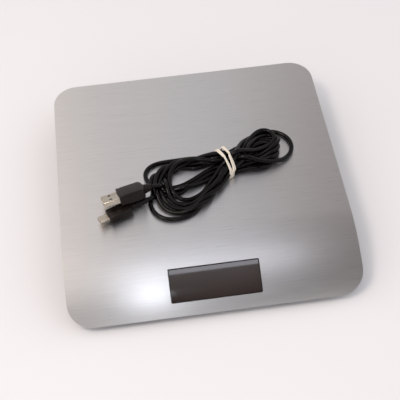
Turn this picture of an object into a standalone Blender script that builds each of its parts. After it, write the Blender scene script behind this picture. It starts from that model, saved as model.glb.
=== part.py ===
"""A slim digital kitchen scale with its USB lead, as separate solids.

The weighing plate is one brushed steel sheet. It is flat at the back and rolls down over the
front, where a window shows the display. It sits on a plastic carrier, the carrier on the free
end of an aluminium load cell, and the fixed end of the load cell on the tray of the base.
The base is a tray and a cover. It holds the display, the boards, the side keys, the USB socket
and the cells. The USB lead lies on the plate as a hank in a rubber tie.

Metres, +Z up. X is the width, +Y is the back, and the origin is on the table under the middle
of the plate. Sizes below are in millimetres times MM.
"""

import math

import bmesh
import bpy
from mathutils import Matrix, Vector

MM = 0.001
GAP = 0.3 * MM  # between solids that touch on the real object

# The plate
PLATE_W = 210 * MM
PLATE_T = 1.0 * MM
PLATE_TOP = 30 * MM
FLAT_LEN = 149 * MM  # from the back edge to where the roll begins
ROLL_R = 84 * MM
ROLL_LEN = 65 * MM  # along the curved surface
CORNER_R = 18 * MM
ROLL_END = ROLL_LEN / ROLL_R  # radians
PLATE_D = FLAT_LEN + ROLL_R * math.sin(ROLL_END)
REAR_Y = PLATE_D / 2
ROLL_Y = REAR_Y - FLAT_LEN
ROLL_Z = PLATE_TOP - ROLL_R  # height of the roll's centre line

# The display window, measured along the plate's surface from its front edge
WINDOW_W = 65 * MM
WINDOW_LOW = 9.9 * MM
WINDOW_HIGH = 34.2 * MM
WINDOW_R = 0.8 * MM
WINDOW_A0 = (ROLL_LEN - WINDOW_HIGH) / ROLL_R
WINDOW_A1 = (ROLL_LEN - WINDOW_LOW) / ROLL_R
WINDOW_A = (WINDOW_A0 + WINDOW_A1) / 2
WINDOW_H = 2 * ROLL_R * math.sin((WINDOW_A1 - WINDOW_A0) / 2)

# The base
BASE_W = 190 * MM
BASE_FRONT = -95.5 * MM
BASE_BACK = 95 * MM
BASE_CORNER = 12 * MM
BASE_TOP = 25 * MM
COVER_DEPTH = PLATE_TOP - BASE_TOP  # below the plate's outer surface, flat and rolled alike
WALL = 2 * MM
FLOOR_Z = 3.5 * MM
FLOOR_TOP = 5.9 * MM
COVER_Z = FLOOR_TOP + GAP

# The load cell: a bar along X
CELL_L = 80 * MM
CELL_W = 12.7 * MM
CELL_Y = 5 * MM
CELL_Z = 9 * MM
CELL_BOLTS = (20 * MM, 35 * MM)
PLATFORM_TRAVEL = 0.4 * MM

# The battery compartment, for two AAA cells along Y
AAA_R = 5.15 * MM
AAA_L = 44.5 * MM
AAA_Z = 11.4 * MM
BAY_W = 22.6 * MM
BAY_Y = (35 * MM, 87 * MM)
BAY_TOP = 17.2 * MM
DOOR_W = 26 * MM
DOOR_TONGUE = 1.5 * MM
DOOR_LIP_Z = 4.5 * MM

# The lead on the plate
CORD_D = 3.4 * MM
HANK_H = 10.6 * MM
HANK_Z = PLATE_TOP + GAP
WAIST = (23 * MM, 4.2 * MM)
HANK_TURN = math.radians(20)


# Materials ------------------------------------------------------------------------------------

FINISHES = {
    "brushed_steel": ((0.60, 0.59, 0.58), 0.32, 1.0),
    "black_abs": ((0.020, 0.020, 0.022), 0.45, 0.0),
    "grey_abs": ((0.25, 0.25, 0.26), 0.5, 0.0),
    "tinted_lens": ((0.035, 0.028, 0.027), 0.08, 0.0),
    "lcd_glass": ((0.30, 0.34, 0.30), 0.12, 0.0),
    "circuit_board": ((0.03, 0.16, 0.07), 0.5, 0.0),
    "aluminium": ((0.75, 0.76, 0.78), 0.35, 1.0),
    "plated_steel": ((0.72, 0.71, 0.69), 0.28, 1.0),
    "rubber": ((0.03, 0.03, 0.03), 0.8, 0.0),
    "white_plastic": ((0.80, 0.80, 0.78), 0.5, 0.0),
    "cell_wrap": ((0.10, 0.12, 0.20), 0.35, 0.0),
    "cord_pvc": ((0.012, 0.011, 0.011), 0.35, 0.0),
    "white_rubber": ((0.80, 0.77, 0.70), 0.7, 0.0),
    "foam_tape": ((0.75, 0.75, 0.72), 0.9, 0.0),
}


def finish(name):
    """The named material, made on first use."""
    material = bpy.data.materials.get(name)
    if material:
        return material
    colour, roughness, metallic = FINISHES[name]
    material = bpy.data.materials.new(name)
    material.use_nodes = True
    shader = material.node_tree.nodes["Principled BSDF"]
    shader.inputs["Base Color"].default_value = (*colour, 1)
    shader.inputs["Roughness"].default_value = roughness
    shader.inputs["Metallic"].default_value = metallic
    material.diffuse_color = (*colour, 1)
    return material


# Making and joining solids --------------------------------------------------------------------

def collection(name):
    """A collection in the scene."""
    made = bpy.data.collections.new(name)
    bpy.context.scene.collection.children.link(made)
    return made


def clear_scene():
    for obj in list(bpy.data.objects):
        bpy.data.objects.remove(obj)


clear_scene()
PARTS = collection("kitchen_scale")
CUTTERS = collection("cutters")
BODIES = {}


def body(name, place):
    """An empty that the pieces of one rigid body hang on."""
    empty = bpy.data.objects.new(name, None)
    empty.location = place
    PARTS.objects.link(empty)
    bpy.context.view_layer.update()
    BODIES[name] = empty
    return empty


def place(obj, location=(0, 0, 0), rotation=(0, 0, 0)):
    """Puts an object down; rotation is in radians, or a 3x3 matrix."""
    obj.location = location
    if isinstance(rotation, Matrix):
        obj.rotation_euler = rotation.to_euler()
    else:
        obj.rotation_euler = rotation
    bpy.context.view_layer.update()
    return obj


def part(obj, name, material, on="base"):
    """Makes an object a named part of one body."""
    obj.name = name
    obj.data.name = name
    obj.data.materials.clear()
    obj.data.materials.append(finish(material))
    if obj.type == "MESH":
        obj.data.shade_smooth()
        obj.data.set_sharp_from_angle(angle=math.radians(35))
    bpy.context.view_layer.update()
    obj.parent = BODIES[on]
    obj.matrix_parent_inverse = BODIES[on].matrix_world.inverted()
    return obj


def from_bmesh(bm, name="solid"):
    mesh = bpy.data.meshes.new(name)
    bm.to_mesh(mesh)
    bm.free()
    obj = bpy.data.objects.new(name, mesh)
    PARTS.objects.link(obj)
    return obj


def block(size, location=(0, 0, 0), rotation=(0, 0, 0), bevel=0, segments=2):
    """A box about its own centre, with rounded edges if bevel is given."""
    bm = bmesh.new()
    bmesh.ops.create_cube(bm, size=1)
    bmesh.ops.scale(bm, vec=size, verts=bm.verts)
    obj = place(from_bmesh(bm), location, rotation)
    if bevel:
        edge = obj.modifiers.new("rounded_edges", "BEVEL")
        edge.width = bevel
        edge.segments = segments
    return obj


def span_block(low, high, bevel=0):
    """A box between two corners."""
    low, high = Vector(low), Vector(high)
    return block(high - low, (low + high) / 2, bevel=bevel)


def rod(radius, length, location=(0, 0, 0), rotation=(0, 0, 0), top_radius=None, segments=20):
    """A cylinder or cone frustum along its own Z, about its centre."""
    bm = bmesh.new()
    bmesh.ops.create_cone(
        bm,
        cap_ends=True,
        segments=segments,
        radius1=radius,
        radius2=radius if top_radius is None else top_radius,
        depth=length,
    )
    return place(from_bmesh(bm), location, rotation)


def standing_rod(radius, low, high, x, y, segments=20):
    """A vertical cylinder between two heights."""
    return rod(radius, high - low, (x, y, (low + high) / 2), segments=segments)


def mesh_of(curve_object):
    """Turns a curve object into a mesh object with its caps welded."""
    bpy.context.view_layer.update()
    graph = bpy.context.evaluated_depsgraph_get()
    mesh = bpy.data.meshes.new_from_object(curve_object.evaluated_get(graph))
    bm = bmesh.new()
    bm.from_mesh(mesh)
    bmesh.ops.remove_doubles(bm, verts=bm.verts, dist=0.001 * MM)
    bmesh.ops.recalc_face_normals(bm, faces=bm.faces)
    obj = from_bmesh(bm)
    obj.matrix_world = curve_object.matrix_world
    bpy.data.meshes.remove(mesh)
    bpy.data.objects.remove(curve_object)
    bpy.context.view_layer.update()
    return obj


def outline_solid(points, depth, location=(0, 0, 0), rotation=(0, 0, 0)):
    """A flat outline, filled and given a thickness along its own Z, about its centre."""
    curve = bpy.data.curves.new("outline", "CURVE")
    curve.dimensions = "2D"
    curve.fill_mode = "BOTH"
    curve.extrude = depth / 2
    spline = curve.splines.new("POLY")
    spline.points.add(len(points) - 1)
    for point, (x, y) in zip(spline.points, points):
        point.co = (x, y, 0, 1)
    spline.use_cyclic_u = True
    obj = bpy.data.objects.new("outline", curve)
    PARTS.objects.link(obj)
    return mesh_of(place(obj, location, rotation))


def tube(points, radius):
    """A wire or cord with a point about every two or three diameters."""
    curve = bpy.data.curves.new("tube", "CURVE")
    curve.dimensions = "3D"
    curve.bevel_depth = radius
    curve.bevel_resolution = 2
    curve.use_fill_caps = True
    spline = curve.splines.new("POLY")
    spline.points.add(len(points) - 1)
    for point, place_on_line in zip(spline.points, points):
        point.co = (*place_on_line, 1)
    obj = bpy.data.objects.new("tube", curve)
    PARTS.objects.link(obj)
    return obj


def combine(obj, other, operation):
    """Cuts, joins or intersects one solid with another, which becomes a hidden helper."""
    for holder in list(other.users_collection):
        holder.objects.unlink(other)
    CUTTERS.objects.link(other)
    other.hide_render = True
    other.display_type = "WIRE"
    step = obj.modifiers.new(operation.lower(), "BOOLEAN")
    step.operation = operation
    step.object = other
    return obj


def cut(obj, *others):
    for other in others:
        combine(obj, other, "DIFFERENCE")
    return obj


def join(obj, *others):
    for other in others:
        combine(obj, other, "UNION")
    return obj


def keep_inside(obj, other):
    return combine(obj, other, "INTERSECT")


# Outlines -------------------------------------------------------------------------------------

def arc(centre, radius, start, end, steps):
    """Points on an arc, both ends included."""
    turns = [start + (end - start) * i / steps for i in range(steps + 1)]
    return [(centre[0] + radius * math.cos(a), centre[1] + radius * math.sin(a)) for a in turns]


def rounded_rectangle(low, high, radius, steps=8):
    """The outline of a rectangle with round corners, anticlockwise."""
    corners = (
        (high[0] - radius, high[1] - radius),
        (low[0] + radius, high[1] - radius),
        (low[0] + radius, low[1] + radius),
        (high[0] - radius, low[1] + radius),
    )
    points = []
    for quarter, corner in enumerate(corners):
        start = quarter * math.pi / 2
        points += arc(corner, radius, start, start + math.pi / 2, steps)
    return points


def plan_solid(low, high, radius, z_low, z_high, steps=8):
    """A block with a rounded rectangle as its plan."""
    outline = rounded_rectangle(low, high, radius, steps)
    return outline_solid(outline, z_high - z_low, (0, 0, (z_low + z_high) / 2))


def roll_point(depth, angle):
    """(y, z) on the rolled front, so far below the plate's outer surface."""
    radius = ROLL_R - depth
    return (ROLL_Y - radius * math.sin(angle), ROLL_Z + radius * math.cos(angle))


def surface_line(depth, back, end_angle, steps=16):
    """Points (y, z) from the back, along the flat, and round the roll."""
    line = [(back, PLATE_TOP - depth)]
    line += [roll_point(depth, end_angle * i / steps) for i in range(steps + 1)]
    return line


# Turns a (y, z) outline into a solid that runs along X.
ALONG_X = (math.radians(90), 0, math.radians(90))


def side_solid(points, width, x=0):
    return outline_solid(points, width, (x, 0, 0), ALONG_X)


def layer_solid(depth_top, depth_low, back, end_angle, width, steps=16):
    """A layer of constant thickness that follows the plate."""
    top = surface_line(depth_top, back, end_angle, steps)
    low = surface_line(depth_low, back, end_angle, steps)
    return side_solid(top + low[::-1], width)


def angle_at(depth, y):
    """The roll's angle where the surface at this depth reaches y."""
    return math.asin((ROLL_Y - y) / (ROLL_R - depth))


def base_side(depth, front, back, bottom):
    """The base's side view, closed along the bottom."""
    line = surface_line(depth, back, angle_at(depth, front))
    return line + [(front, bottom), (back, bottom)]


def facing(offset_x, along, depth):
    """A place under the window: across, down the slope from its middle, and below the plate."""
    radius = ROLL_R - depth
    y = ROLL_Y - radius * math.sin(WINDOW_A) - along * math.cos(WINDOW_A)
    z = ROLL_Z + radius * math.cos(WINDOW_A) - along * math.sin(WINDOW_A)
    return (offset_x, y, z)


WINDOW_TILT = (WINDOW_A, 0, 0)


def window_block(width, height, depth_top, depth_low, along=0, x=0, bevel=0):
    """A box square to the window, between two depths below the plate's surface."""
    middle = facing(x, along, (depth_top + depth_low) / 2)
    return block((width, height, depth_low - depth_top), middle, WINDOW_TILT, bevel)


# The platform ---------------------------------------------------------------------------------

def make_plate():
    plate = layer_solid(0, PLATE_T, REAR_Y, ROLL_END, PLATE_W + 4 * MM, 20)
    half = PLATE_W / 2
    front = -REAR_Y - 0.2 * MM
    keep_inside(plate, plan_solid((-half, front), (half, REAR_Y), CORNER_R, 0, 40 * MM))
    outline = rounded_rectangle(
        (-WINDOW_W / 2, -WINDOW_H / 2), (WINDOW_W / 2, WINDOW_H / 2), WINDOW_R, 3
    )
    cut(plate, outline_solid(outline, 12 * MM, facing(0, 0, 0), WINDOW_TILT))
    return part(plate, "platform_plate", "brushed_steel", "platform")


COLLAR_A = (WINDOW_A0 - math.radians(0.8), WINDOW_A1 + math.radians(1.0))
CARRIER_DEPTH = 2.1 * MM
CARRIER_T = 1.7 * MM
CARRIER_W = 196 * MM


def make_carrier():
    back = 98 * MM
    carrier = layer_solid(
        CARRIER_DEPTH, CARRIER_DEPTH + CARRIER_T, back, math.radians(40), CARRIER_W + 4 * MM, 12
    )
    half = CARRIER_W / 2
    keep_inside(carrier, plan_solid((-half, -98 * MM), (half, back), 14 * MM, 0, 40 * MM, 5))
    gap = 34.6 * MM  # half the width of the notch that the display stands in
    notch_back = roll_point(CARRIER_DEPTH + CARRIER_T, COLLAR_A[0])[1] + 0.8 * MM
    cut(carrier, span_block((-gap, -120 * MM, 0), (gap, notch_back, 40 * MM)))
    for x in CELL_BOLTS:
        cut(carrier, standing_rod(4.2 * MM, 27 * MM, 35 * MM, x, CELL_Y))
        cut(carrier, standing_rod(2.4 * MM, 20 * MM, 35 * MM, x, CELL_Y, 16))
    return part(carrier, "platform_carrier", "black_abs", "platform")


def make_tape():
    """Foam tape bonds the plate to its carrier."""
    for side, x in (("left", -72 * MM), ("right", 72 * MM)):
        strip = span_block(
            (x - 12 * MM, -30 * MM, 28.2 * MM), (x + 12 * MM, 85 * MM, 28.75 * MM)
        )
        part(strip, f"bonding_tape_{side}", "foam_tape", "platform")


def screw(name, radius, z_head, z_tip, x, y, head_radius, head_height, on, material="plated_steel"):
    """A cross-head screw along Z. Its head is at z_head and it points to z_tip."""
    way = 1 if z_tip > z_head else -1
    low, high = sorted((z_head, z_head + way * head_height))
    obj = standing_rod(head_radius, low, high, x, y)
    start = z_head + way * head_height / 2
    join(obj, standing_rod(radius, *sorted((start, z_tip)), x, y, 12))
    slot = 0.45 * head_height
    for size in ((1.3 * head_radius, 0.25 * head_radius), (0.25 * head_radius, 1.3 * head_radius)):
        cut(obj, block((*size, 2 * slot), (x, y, z_head)))
    return part(obj, name, material, on)


def make_load_cell():
    """An aluminium bar, thinned in the middle, that bends a little under load."""
    middle = CELL_Z + CELL_W / 2
    bar = block((CELL_L, CELL_W, CELL_W), (0, CELL_Y, middle))
    across = (math.radians(90), 0, 0)
    hole, spread = 4.5 * MM, 8 * MM
    for x in (-spread, spread):
        cut(bar, rod(hole, 2 * CELL_W, (x, CELL_Y, middle), across, segments=20))
    cut(bar, block((2 * spread, 2 * CELL_W, 4 * MM), (0, CELL_Y, middle)))
    for x in CELL_BOLTS:
        cut(bar, standing_rod(2.4 * MM, CELL_Z - MM, CELL_Z + 9 * MM, -x, CELL_Y, 16))
        cut(bar, standing_rod(2.4 * MM, CELL_Z + 3 * MM, CELL_Z + 15 * MM, x, CELL_Y, 16))
    part(bar, "load_cell", "aluminium")

    top = CELL_Z + CELL_W
    span = (14.5 * MM, 40.5 * MM)
    y0, y1 = CELL_Y - 6.2 * MM, CELL_Y + 6.2 * MM
    foot = span_block((-span[1], y0, FLOOR_TOP + GAP), (-span[0], y1, CELL_Z - GAP))
    head_top = PLATE_TOP - CARRIER_DEPTH - CARRIER_T - GAP
    head_low = top + PLATFORM_TRAVEL + 0.1 * MM
    head = span_block((span[0], y0, head_low), (span[1], y1, head_top))
    for x in CELL_BOLTS:
        cut(foot, standing_rod(2.4 * MM, 0, CELL_Z, -x, CELL_Y, 16))
        cut(head, standing_rod(2.4 * MM, top - MM, top + 9 * MM, x, CELL_Y, 16))
    part(foot, "load_cell_foot", "plated_steel")
    part(head, "load_cell_head", "plated_steel", "platform")
    for number, x in enumerate(CELL_BOLTS, 1):
        screw(f"load_cell_foot_screw_{number}", 2 * MM, 3.7 * MM, 15 * MM, -x, CELL_Y,
              3.6 * MM, 1.2 * MM, "base")
        screw(f"load_cell_head_screw_{number}", 2 * MM, 28.5 * MM, 14 * MM, x, CELL_Y,
              3.6 * MM, 1.2 * MM, "platform")
    stop = standing_rod(2.4 * MM, 4.2 * MM, CELL_Z - PLATFORM_TRAVEL, CELL_BOLTS[1], CELL_Y, 16)
    part(stop, "overload_stop", "plated_steel")


# The base -------------------------------------------------------------------------------------

FOOT_X = 80 * MM
FOOT_Y = 80 * MM
FOOT_R = 7 * MM
SCREW_X = 84 * MM
SCREW_Y = (-58 * MM, 60 * MM)
KEY_Y = {"tare": -22 * MM, "unit": -2 * MM}
KEY_Z = 14.5 * MM
KEY_SIZE = (12 * MM, 6 * MM)
KEY_TRAVEL = 0.4 * MM
USB_X = -60 * MM
USB_Z = 11.6 * MM


def make_tray():
    """The bottom of the base, with the battery bay and the seats of the boards and screws."""
    half = BASE_W / 2
    tray = plan_solid((-half, BASE_FRONT), (half, BASE_BACK), BASE_CORNER, FLOOR_Z, FLOOR_TOP, 6)
    edge = WALL + GAP
    rim = plan_solid((-half + edge, BASE_FRONT + 7.5 * MM), (half - edge, BASE_BACK - edge),
                     BASE_CORNER - edge, FLOOR_TOP - MM, 7.6 * MM, 5)
    inner = edge + 1.3 * MM
    cut(rim, plan_solid((-half + inner, BASE_FRONT + 8.8 * MM), (half - inner, BASE_BACK - inner),
                        BASE_CORNER - inner, 0, 20 * MM, 5))
    cut(rim, span_block((-40 * MM, -120 * MM, 0), (40 * MM, -70 * MM, 20 * MM)))
    join(tray, rim)
    wall = 1.6 * MM
    flange = BAY_W / 2 + 5.5 * MM
    y0, y1 = BAY_Y
    last = BASE_BACK - edge + 0.15 * MM
    join(tray, span_block((-flange, y0 - 5 * MM, FLOOR_TOP - MM), (flange, last, 7.1 * MM)))
    outer = BAY_W / 2 + wall
    join(tray, span_block((-outer, y0 - wall, FLOOR_TOP), (outer, y1 + wall, BAY_TOP + wall)))
    cut(tray, span_block((-BAY_W / 2, y0, 0), (BAY_W / 2, y1, BAY_TOP)))
    slot = DOOR_W / 2 + GAP
    wide = slot + DOOR_TONGUE
    low = DOOR_LIP_Z
    eased = low + 0.1 * MM
    roof = FLOOR_TOP - 0.1 * MM
    profile = [(-slot, 0), (slot, 0), (slot, low), (wide, eased), (wide, roof), (-wide, roof),
               (-wide, eased), (-slot, low)]
    first = y0 - 3 * MM
    cut(tray, span_block((-wide, last, 0), (wide, 120 * MM, 20 * MM)))
    cut(tray, outline_solid(profile, last + MM - first, (0, (last + MM + first) / 2, 0),
                            (math.radians(90), 0, 0)))
    for x in (-FOOT_X, FOOT_X):
        for y in (-FOOT_Y, FOOT_Y):
            cut(tray, standing_rod(FOOT_R + GAP, 0, 4.3 * MM, x, y, 28))
    for x in (-SCREW_X, SCREW_X):
        for y in SCREW_Y:
            join(tray, standing_rod(4.6 * MM, FLOOR_TOP - MM, 8 * MM, x, y, 20))
            cut(tray, standing_rod(3.1 * MM, 0, 5.8 * MM, x, y, 20))
            cut(tray, standing_rod(1.7 * MM, 0, 12 * MM, x, y, 12))
    for x in CELL_BOLTS:
        cut(tray, standing_rod(4.1 * MM, 0, 5.1 * MM, -x, CELL_Y, 20))
        cut(tray, standing_rod(2.4 * MM, 0, 12 * MM, -x, CELL_Y, 16))
    join(tray, standing_rod(5 * MM, FLOOR_TOP - MM, 7.6 * MM, CELL_BOLTS[1], CELL_Y))
    cut(tray, standing_rod(2.7 * MM, 0, 12 * MM, CELL_BOLTS[1], CELL_Y, 16))
    for x in (-7 * MM, 7 * MM):
        join(tray, block((2 * MM, 16 * MM, 3 * MM), (USB_X + x, 83 * MM, 6.4 * MM)))
    for y in (KEY_BOARD_Y[0], KEY_BOARD_Y[1]):
        post = block((6 * MM, 5 * MM, 9 * MM), (KEY_BOARD_X, y, FLOOR_TOP + 3.5 * MM))
        cut(post, block((2.1 * MM, 9 * MM, 20 * MM), (KEY_BOARD_X, y, FLOOR_TOP + 12 * MM)))
        join(tray, post)
    return part(tray, "base_tray", "black_abs")


def make_cover():
    """The top of the base: a shell with the display's collar and openings for what comes through."""
    half = BASE_W / 2
    cover = side_solid(base_side(COVER_DEPTH, BASE_FRONT - 2 * MM, BASE_BACK + 2 * MM, COVER_Z),
                       BASE_W + 4 * MM)
    collar_top = 2.1 * MM
    steps = 6
    turns = [COLLAR_A[0] + (COLLAR_A[1] - COLLAR_A[0]) * i / steps for i in range(steps + 1)]
    ring = [roll_point(collar_top, a) for a in turns]
    ring += [roll_point(COVER_DEPTH + WALL, a) for a in turns[::-1]]
    join(cover, side_solid(ring, WINDOW_W + 2 * MM))
    keep_inside(cover, plan_solid((-half, BASE_FRONT), (half, BASE_BACK), BASE_CORNER, 0, 40 * MM, 6))
    hollow = side_solid(base_side(COVER_DEPTH + WALL, BASE_FRONT + WALL, BASE_BACK + WALL, 0),
                        BASE_W + 4 * MM)
    inside = BASE_CORNER - WALL
    keep_inside(hollow, plan_solid((-half + WALL, BASE_FRONT + WALL), (half - WALL, BASE_BACK - WALL),
                                   inside, -MM, 30 * MM, 6))
    cut(cover, hollow)
    for x in (-SCREW_X, SCREW_X):
        for y in SCREW_Y:
            top = 24 * MM if y > 0 else 23 * MM
            join(cover, standing_rod(4.2 * MM, 8.3 * MM, top, x, y, 16))
            cut(cover, standing_rod(1.6 * MM, 0, 17 * MM, x, y, 12))
    # The lens's seat, and the way through it to the display
    lens_a = [WINDOW_A0, WINDOW_A1]
    seat = [roll_point(0, a) for a in lens_a] + [roll_point(SEAT_DEPTH, a) for a in lens_a[::-1]]
    cut(cover, side_solid(seat, WINDOW_W - 0.2 * MM))
    cut(cover, window_block(FRAME_W + 2 * GAP, FRAME_H + 2 * GAP, -5 * MM, 20 * MM, FRAME_ALONG))
    # The load cell's head comes up through the top
    cut(cover, span_block((12.5 * MM, CELL_Y - 8 * MM, 20 * MM), (42.5 * MM, CELL_Y + 8 * MM, 30 * MM)))
    for y in KEY_Y.values():
        size = (10 * MM, KEY_SIZE[0] + 2 * GAP, KEY_SIZE[1] + 2 * GAP)
        cut(cover, block(size, (half, y, KEY_Z)))
    cut(cover, block((9.4 * MM, 10 * MM, 5.4 * MM), (USB_X, BASE_BACK, USB_Z)))
    return part(cover, "base_cover", "black_abs")


def make_feet():
    for row, y in (("front", -FOOT_Y), ("rear", FOOT_Y)):
        for side, x in (("left", -FOOT_X), ("right", FOOT_X)):
            foot = standing_rod(FOOT_R, 0, 4 * MM, x, y, 24)
            edge = foot.modifiers.new("rounded_edges", "BEVEL")
            edge.width = 0.8 * MM
            edge.segments = 1
            edge.limit_method = "ANGLE"
            part(foot, f"foot_{row}_{side}", "rubber")


def make_housing_screws():
    for row, y in zip(("front", "rear"), SCREW_Y):
        for side, x in (("left", -SCREW_X), ("right", SCREW_X)):
            screw(f"housing_screw_{row}_{side}", 1.3 * MM, 4.1 * MM, 15.5 * MM, x, y,
                  2.7 * MM, 1.3 * MM, "base")


# The display ----------------------------------------------------------------------------------

SEAT_DEPTH = 3.0 * MM
FRAME_W = 60 * MM
FRAME_H = 18.4 * MM
FRAME_ALONG = -1.75 * MM
FRAME_DEPTH = (4.6 * MM, 9.6 * MM)
LCD_W = 55.4 * MM
LCD_H = 14.4 * MM
BOARD_DEPTH = 10 * MM
BOARD_T = 1.6 * MM
BOARD_ALONG = -5.2 * MM


def make_display():
    clear = math.radians(0.36)  # half a millimetre round the lens
    steps = 6
    start, end = WINDOW_A0 + clear, WINDOW_A1 - clear
    turns = [start + (end - start) * i / steps for i in range(steps + 1)]
    lens = [roll_point(0.9 * MM, a) for a in turns]
    lens += [roll_point(SEAT_DEPTH - GAP, a) for a in turns[::-1]]
    part(side_solid(lens, WINDOW_W - MM), "display_lens", "tinted_lens")

    frame = window_block(FRAME_W, FRAME_H, *FRAME_DEPTH, FRAME_ALONG)
    cut(frame, window_block(LCD_W + 2 * GAP, LCD_H + 2 * GAP, 0, 20 * MM, FRAME_ALONG))
    part(frame, "display_frame", "white_plastic")
    part(window_block(LCD_W, LCD_H, 5.4 * MM, 7.6 * MM, FRAME_ALONG), "lcd_glass", "lcd_glass")
    for side, way in (("upper", -1), ("lower", 1)):
        along = FRAME_ALONG + way * 5.6 * MM
        strip = window_block(50 * MM, 1.8 * MM, 7.9 * MM, BOARD_DEPTH - GAP, along)
        part(strip, f"contact_strip_{side}", "rubber")
    board = window_block(72 * MM, 20.5 * MM, BOARD_DEPTH, BOARD_DEPTH + BOARD_T, BOARD_ALONG)
    part(board, "main_board", "circuit_board")
    low = BOARD_DEPTH + BOARD_T + GAP
    chip = window_block(11 * MM, 11 * MM, low, low + 1.4 * MM, BOARD_ALONG - 2 * MM, 8 * MM, 0.6 * MM)
    part(chip, "chip_cover", "black_abs")


# The keys and the USB socket ------------------------------------------------------------------

KEY_BOARD_X = 84 * MM
KEY_BOARD_Y = (-34 * MM, 10 * MM)


def make_keys():
    """Two push keys in the right side wall, each with its switch behind it."""
    wall_in = BASE_W / 2 - WALL
    flange_x = wall_in - 0.5 * MM
    for name, y in KEY_Y.items():
        cap = span_block(
            (flange_x - 0.6 * MM, y - KEY_SIZE[0] / 2, KEY_Z - KEY_SIZE[1] / 2),
            (BASE_W / 2 + 0.9 * MM, y + KEY_SIZE[0] / 2, KEY_Z + KEY_SIZE[1] / 2),
        )
        join(cap, span_block(
            (flange_x - 1.2 * MM, y - KEY_SIZE[0] / 2 - 1.2 * MM, KEY_Z - KEY_SIZE[1] / 2 - 1.2 * MM),
            (flange_x, y + KEY_SIZE[0] / 2 + 1.2 * MM, KEY_Z + KEY_SIZE[1] / 2 + 1.2 * MM),
        ))
        lengthwise = (0, math.radians(90), 0)
        stem_end = 89.9 * MM
        join(cap, rod(1.5 * MM, flange_x - MM - stem_end, ((flange_x - MM + stem_end) / 2, y, KEY_Z),
                      lengthwise, segments=12))
        part(cap, f"{name}_key", "grey_abs", f"{name}_key_body")
        plunger = rod(1.6 * MM, MM, (stem_end - GAP - 0.5 * MM, y, KEY_Z), lengthwise, segments=12)
        part(plunger, f"{name}_switch_plunger", "white_plastic", f"{name}_key_body")
        switch = block((3.2 * MM, 6 * MM, 6 * MM), (86.5 * MM, y, KEY_Z))
        part(switch, f"{name}_switch", "black_abs")
    y0, y1 = KEY_BOARD_Y
    board = span_block((KEY_BOARD_X - 0.75 * MM, y0 - MM, 8.4 * MM),
                       (KEY_BOARD_X + 0.75 * MM, y1 + MM, 20 * MM))
    part(board, "key_board", "circuit_board")


def make_usb_socket():
    """A mini-B socket behind its opening in the back wall."""
    board = block((22 * MM, 18 * MM, 1.2 * MM), (USB_X, 83 * MM, 8.8 * MM))
    part(board, "usb_board", "circuit_board")
    mouth = BASE_BACK - WALL + 0.8 * MM
    length = 9 * MM
    shell = block((8 * MM, length, 4 * MM), (USB_X, mouth - length / 2, USB_Z + 0.1 * MM))
    cut(shell, block((7.2 * MM, length, 3.2 * MM), (USB_X, mouth - length / 2 + MM, USB_Z + 0.1 * MM)))
    tongue = block((4.4 * MM, length - 2 * MM, 0.9 * MM),
                   (USB_X, mouth - length / 2 - 0.5 * MM, USB_Z + 0.1 * MM))
    join(shell, tongue)
    part(shell, "usb_socket", "plated_steel")


# The cells ------------------------------------------------------------------------------------

def spring_points(x, y_wide, y_narrow, z, turns=3, steps=8):
    """A conical coil along Y, wide at its plate and narrow at the cell."""
    count = turns * steps
    points = []
    for i in range(count + 1):
        share = i / count
        radius = (3.4 - 1.4 * share) * MM
        turn = 2 * math.pi * turns * share
        y = y_wide + (y_narrow - y_wide) * share
        points.append((x + radius * math.cos(turn), y, z + radius * math.sin(turn)))
    return points


def make_cells():
    """Two AAA cells, nose to tail, with their springs and contact plates."""
    lying = (math.radians(90), 0, 0)
    front, back = BAY_Y
    pitch = AAA_R + 0.25 * MM
    spring_room = 4.6 * MM
    for number, side, nose in ((1, -1, 1), (2, 1, -1)):
        x = side * pitch
        middle = (front + back) / 2 + nose * 1.1 * MM
        cell = rod(AAA_R, AAA_L - MM, (x, middle - nose * 0.5 * MM, AAA_Z), lying, segments=20)
        tip = rod(1.9 * MM, 2 * MM, (x, middle + nose * (AAA_L / 2 - MM), AAA_Z), lying, segments=12)
        join(cell, tip)
        part(cell, f"cell_{number}", "cell_wrap")
        tail = middle - nose * AAA_L / 2
        plate_face = tail - nose * spring_room
        wire = tube(spring_points(x, plate_face + nose * 1.45 * MM, tail - nose * 0.8 * MM, AAA_Z),
                    0.4 * MM)
        part(wire, f"battery_spring_{number}", "plated_steel")
    for name, y in (("front", front + 0.65 * MM), ("rear", back - 0.65 * MM)):
        plate = block((BAY_W - MM, 0.6 * MM, 9 * MM), (0, y, AAA_Z))
        part(plate, f"battery_contact_{name}", "plated_steel")


def make_battery_door():
    """The door slides off to the back, its tongues in the tray's grooves."""
    y0 = BAY_Y[0] - 2.6 * MM
    top = FLOOR_TOP - GAP
    half = DOOR_W / 2
    wide = half + DOOR_TONGUE
    low = DOOR_LIP_Z + GAP
    eased = low + 0.1 * MM
    profile = [(-half, FLOOR_Z), (half, FLOOR_Z), (half, low), (wide, eased), (wide, top),
               (-wide, top), (-wide, eased), (-half, low)]
    door = outline_solid(profile, BASE_BACK - y0, (0, (BASE_BACK + y0) / 2, 0),
                         (math.radians(90), 0, 0))
    for x in (-wide - 5 * MM, wide + 5 * MM):
        cut(door, block((10.8 * MM + 2 * DOOR_TONGUE, 24 * MM, 20 * MM), (x, BASE_BACK, FLOOR_Z)))
    for i in range(5):
        y = 80 * MM + i * 2.4 * MM
        cut(door, block((14 * MM, 1.1 * MM, 1.2 * MM), (0, y, FLOOR_Z)))
    return part(door, "battery_door", "black_abs", "battery_door_body")


# The wires inside -----------------------------------------------------------------------------

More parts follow.
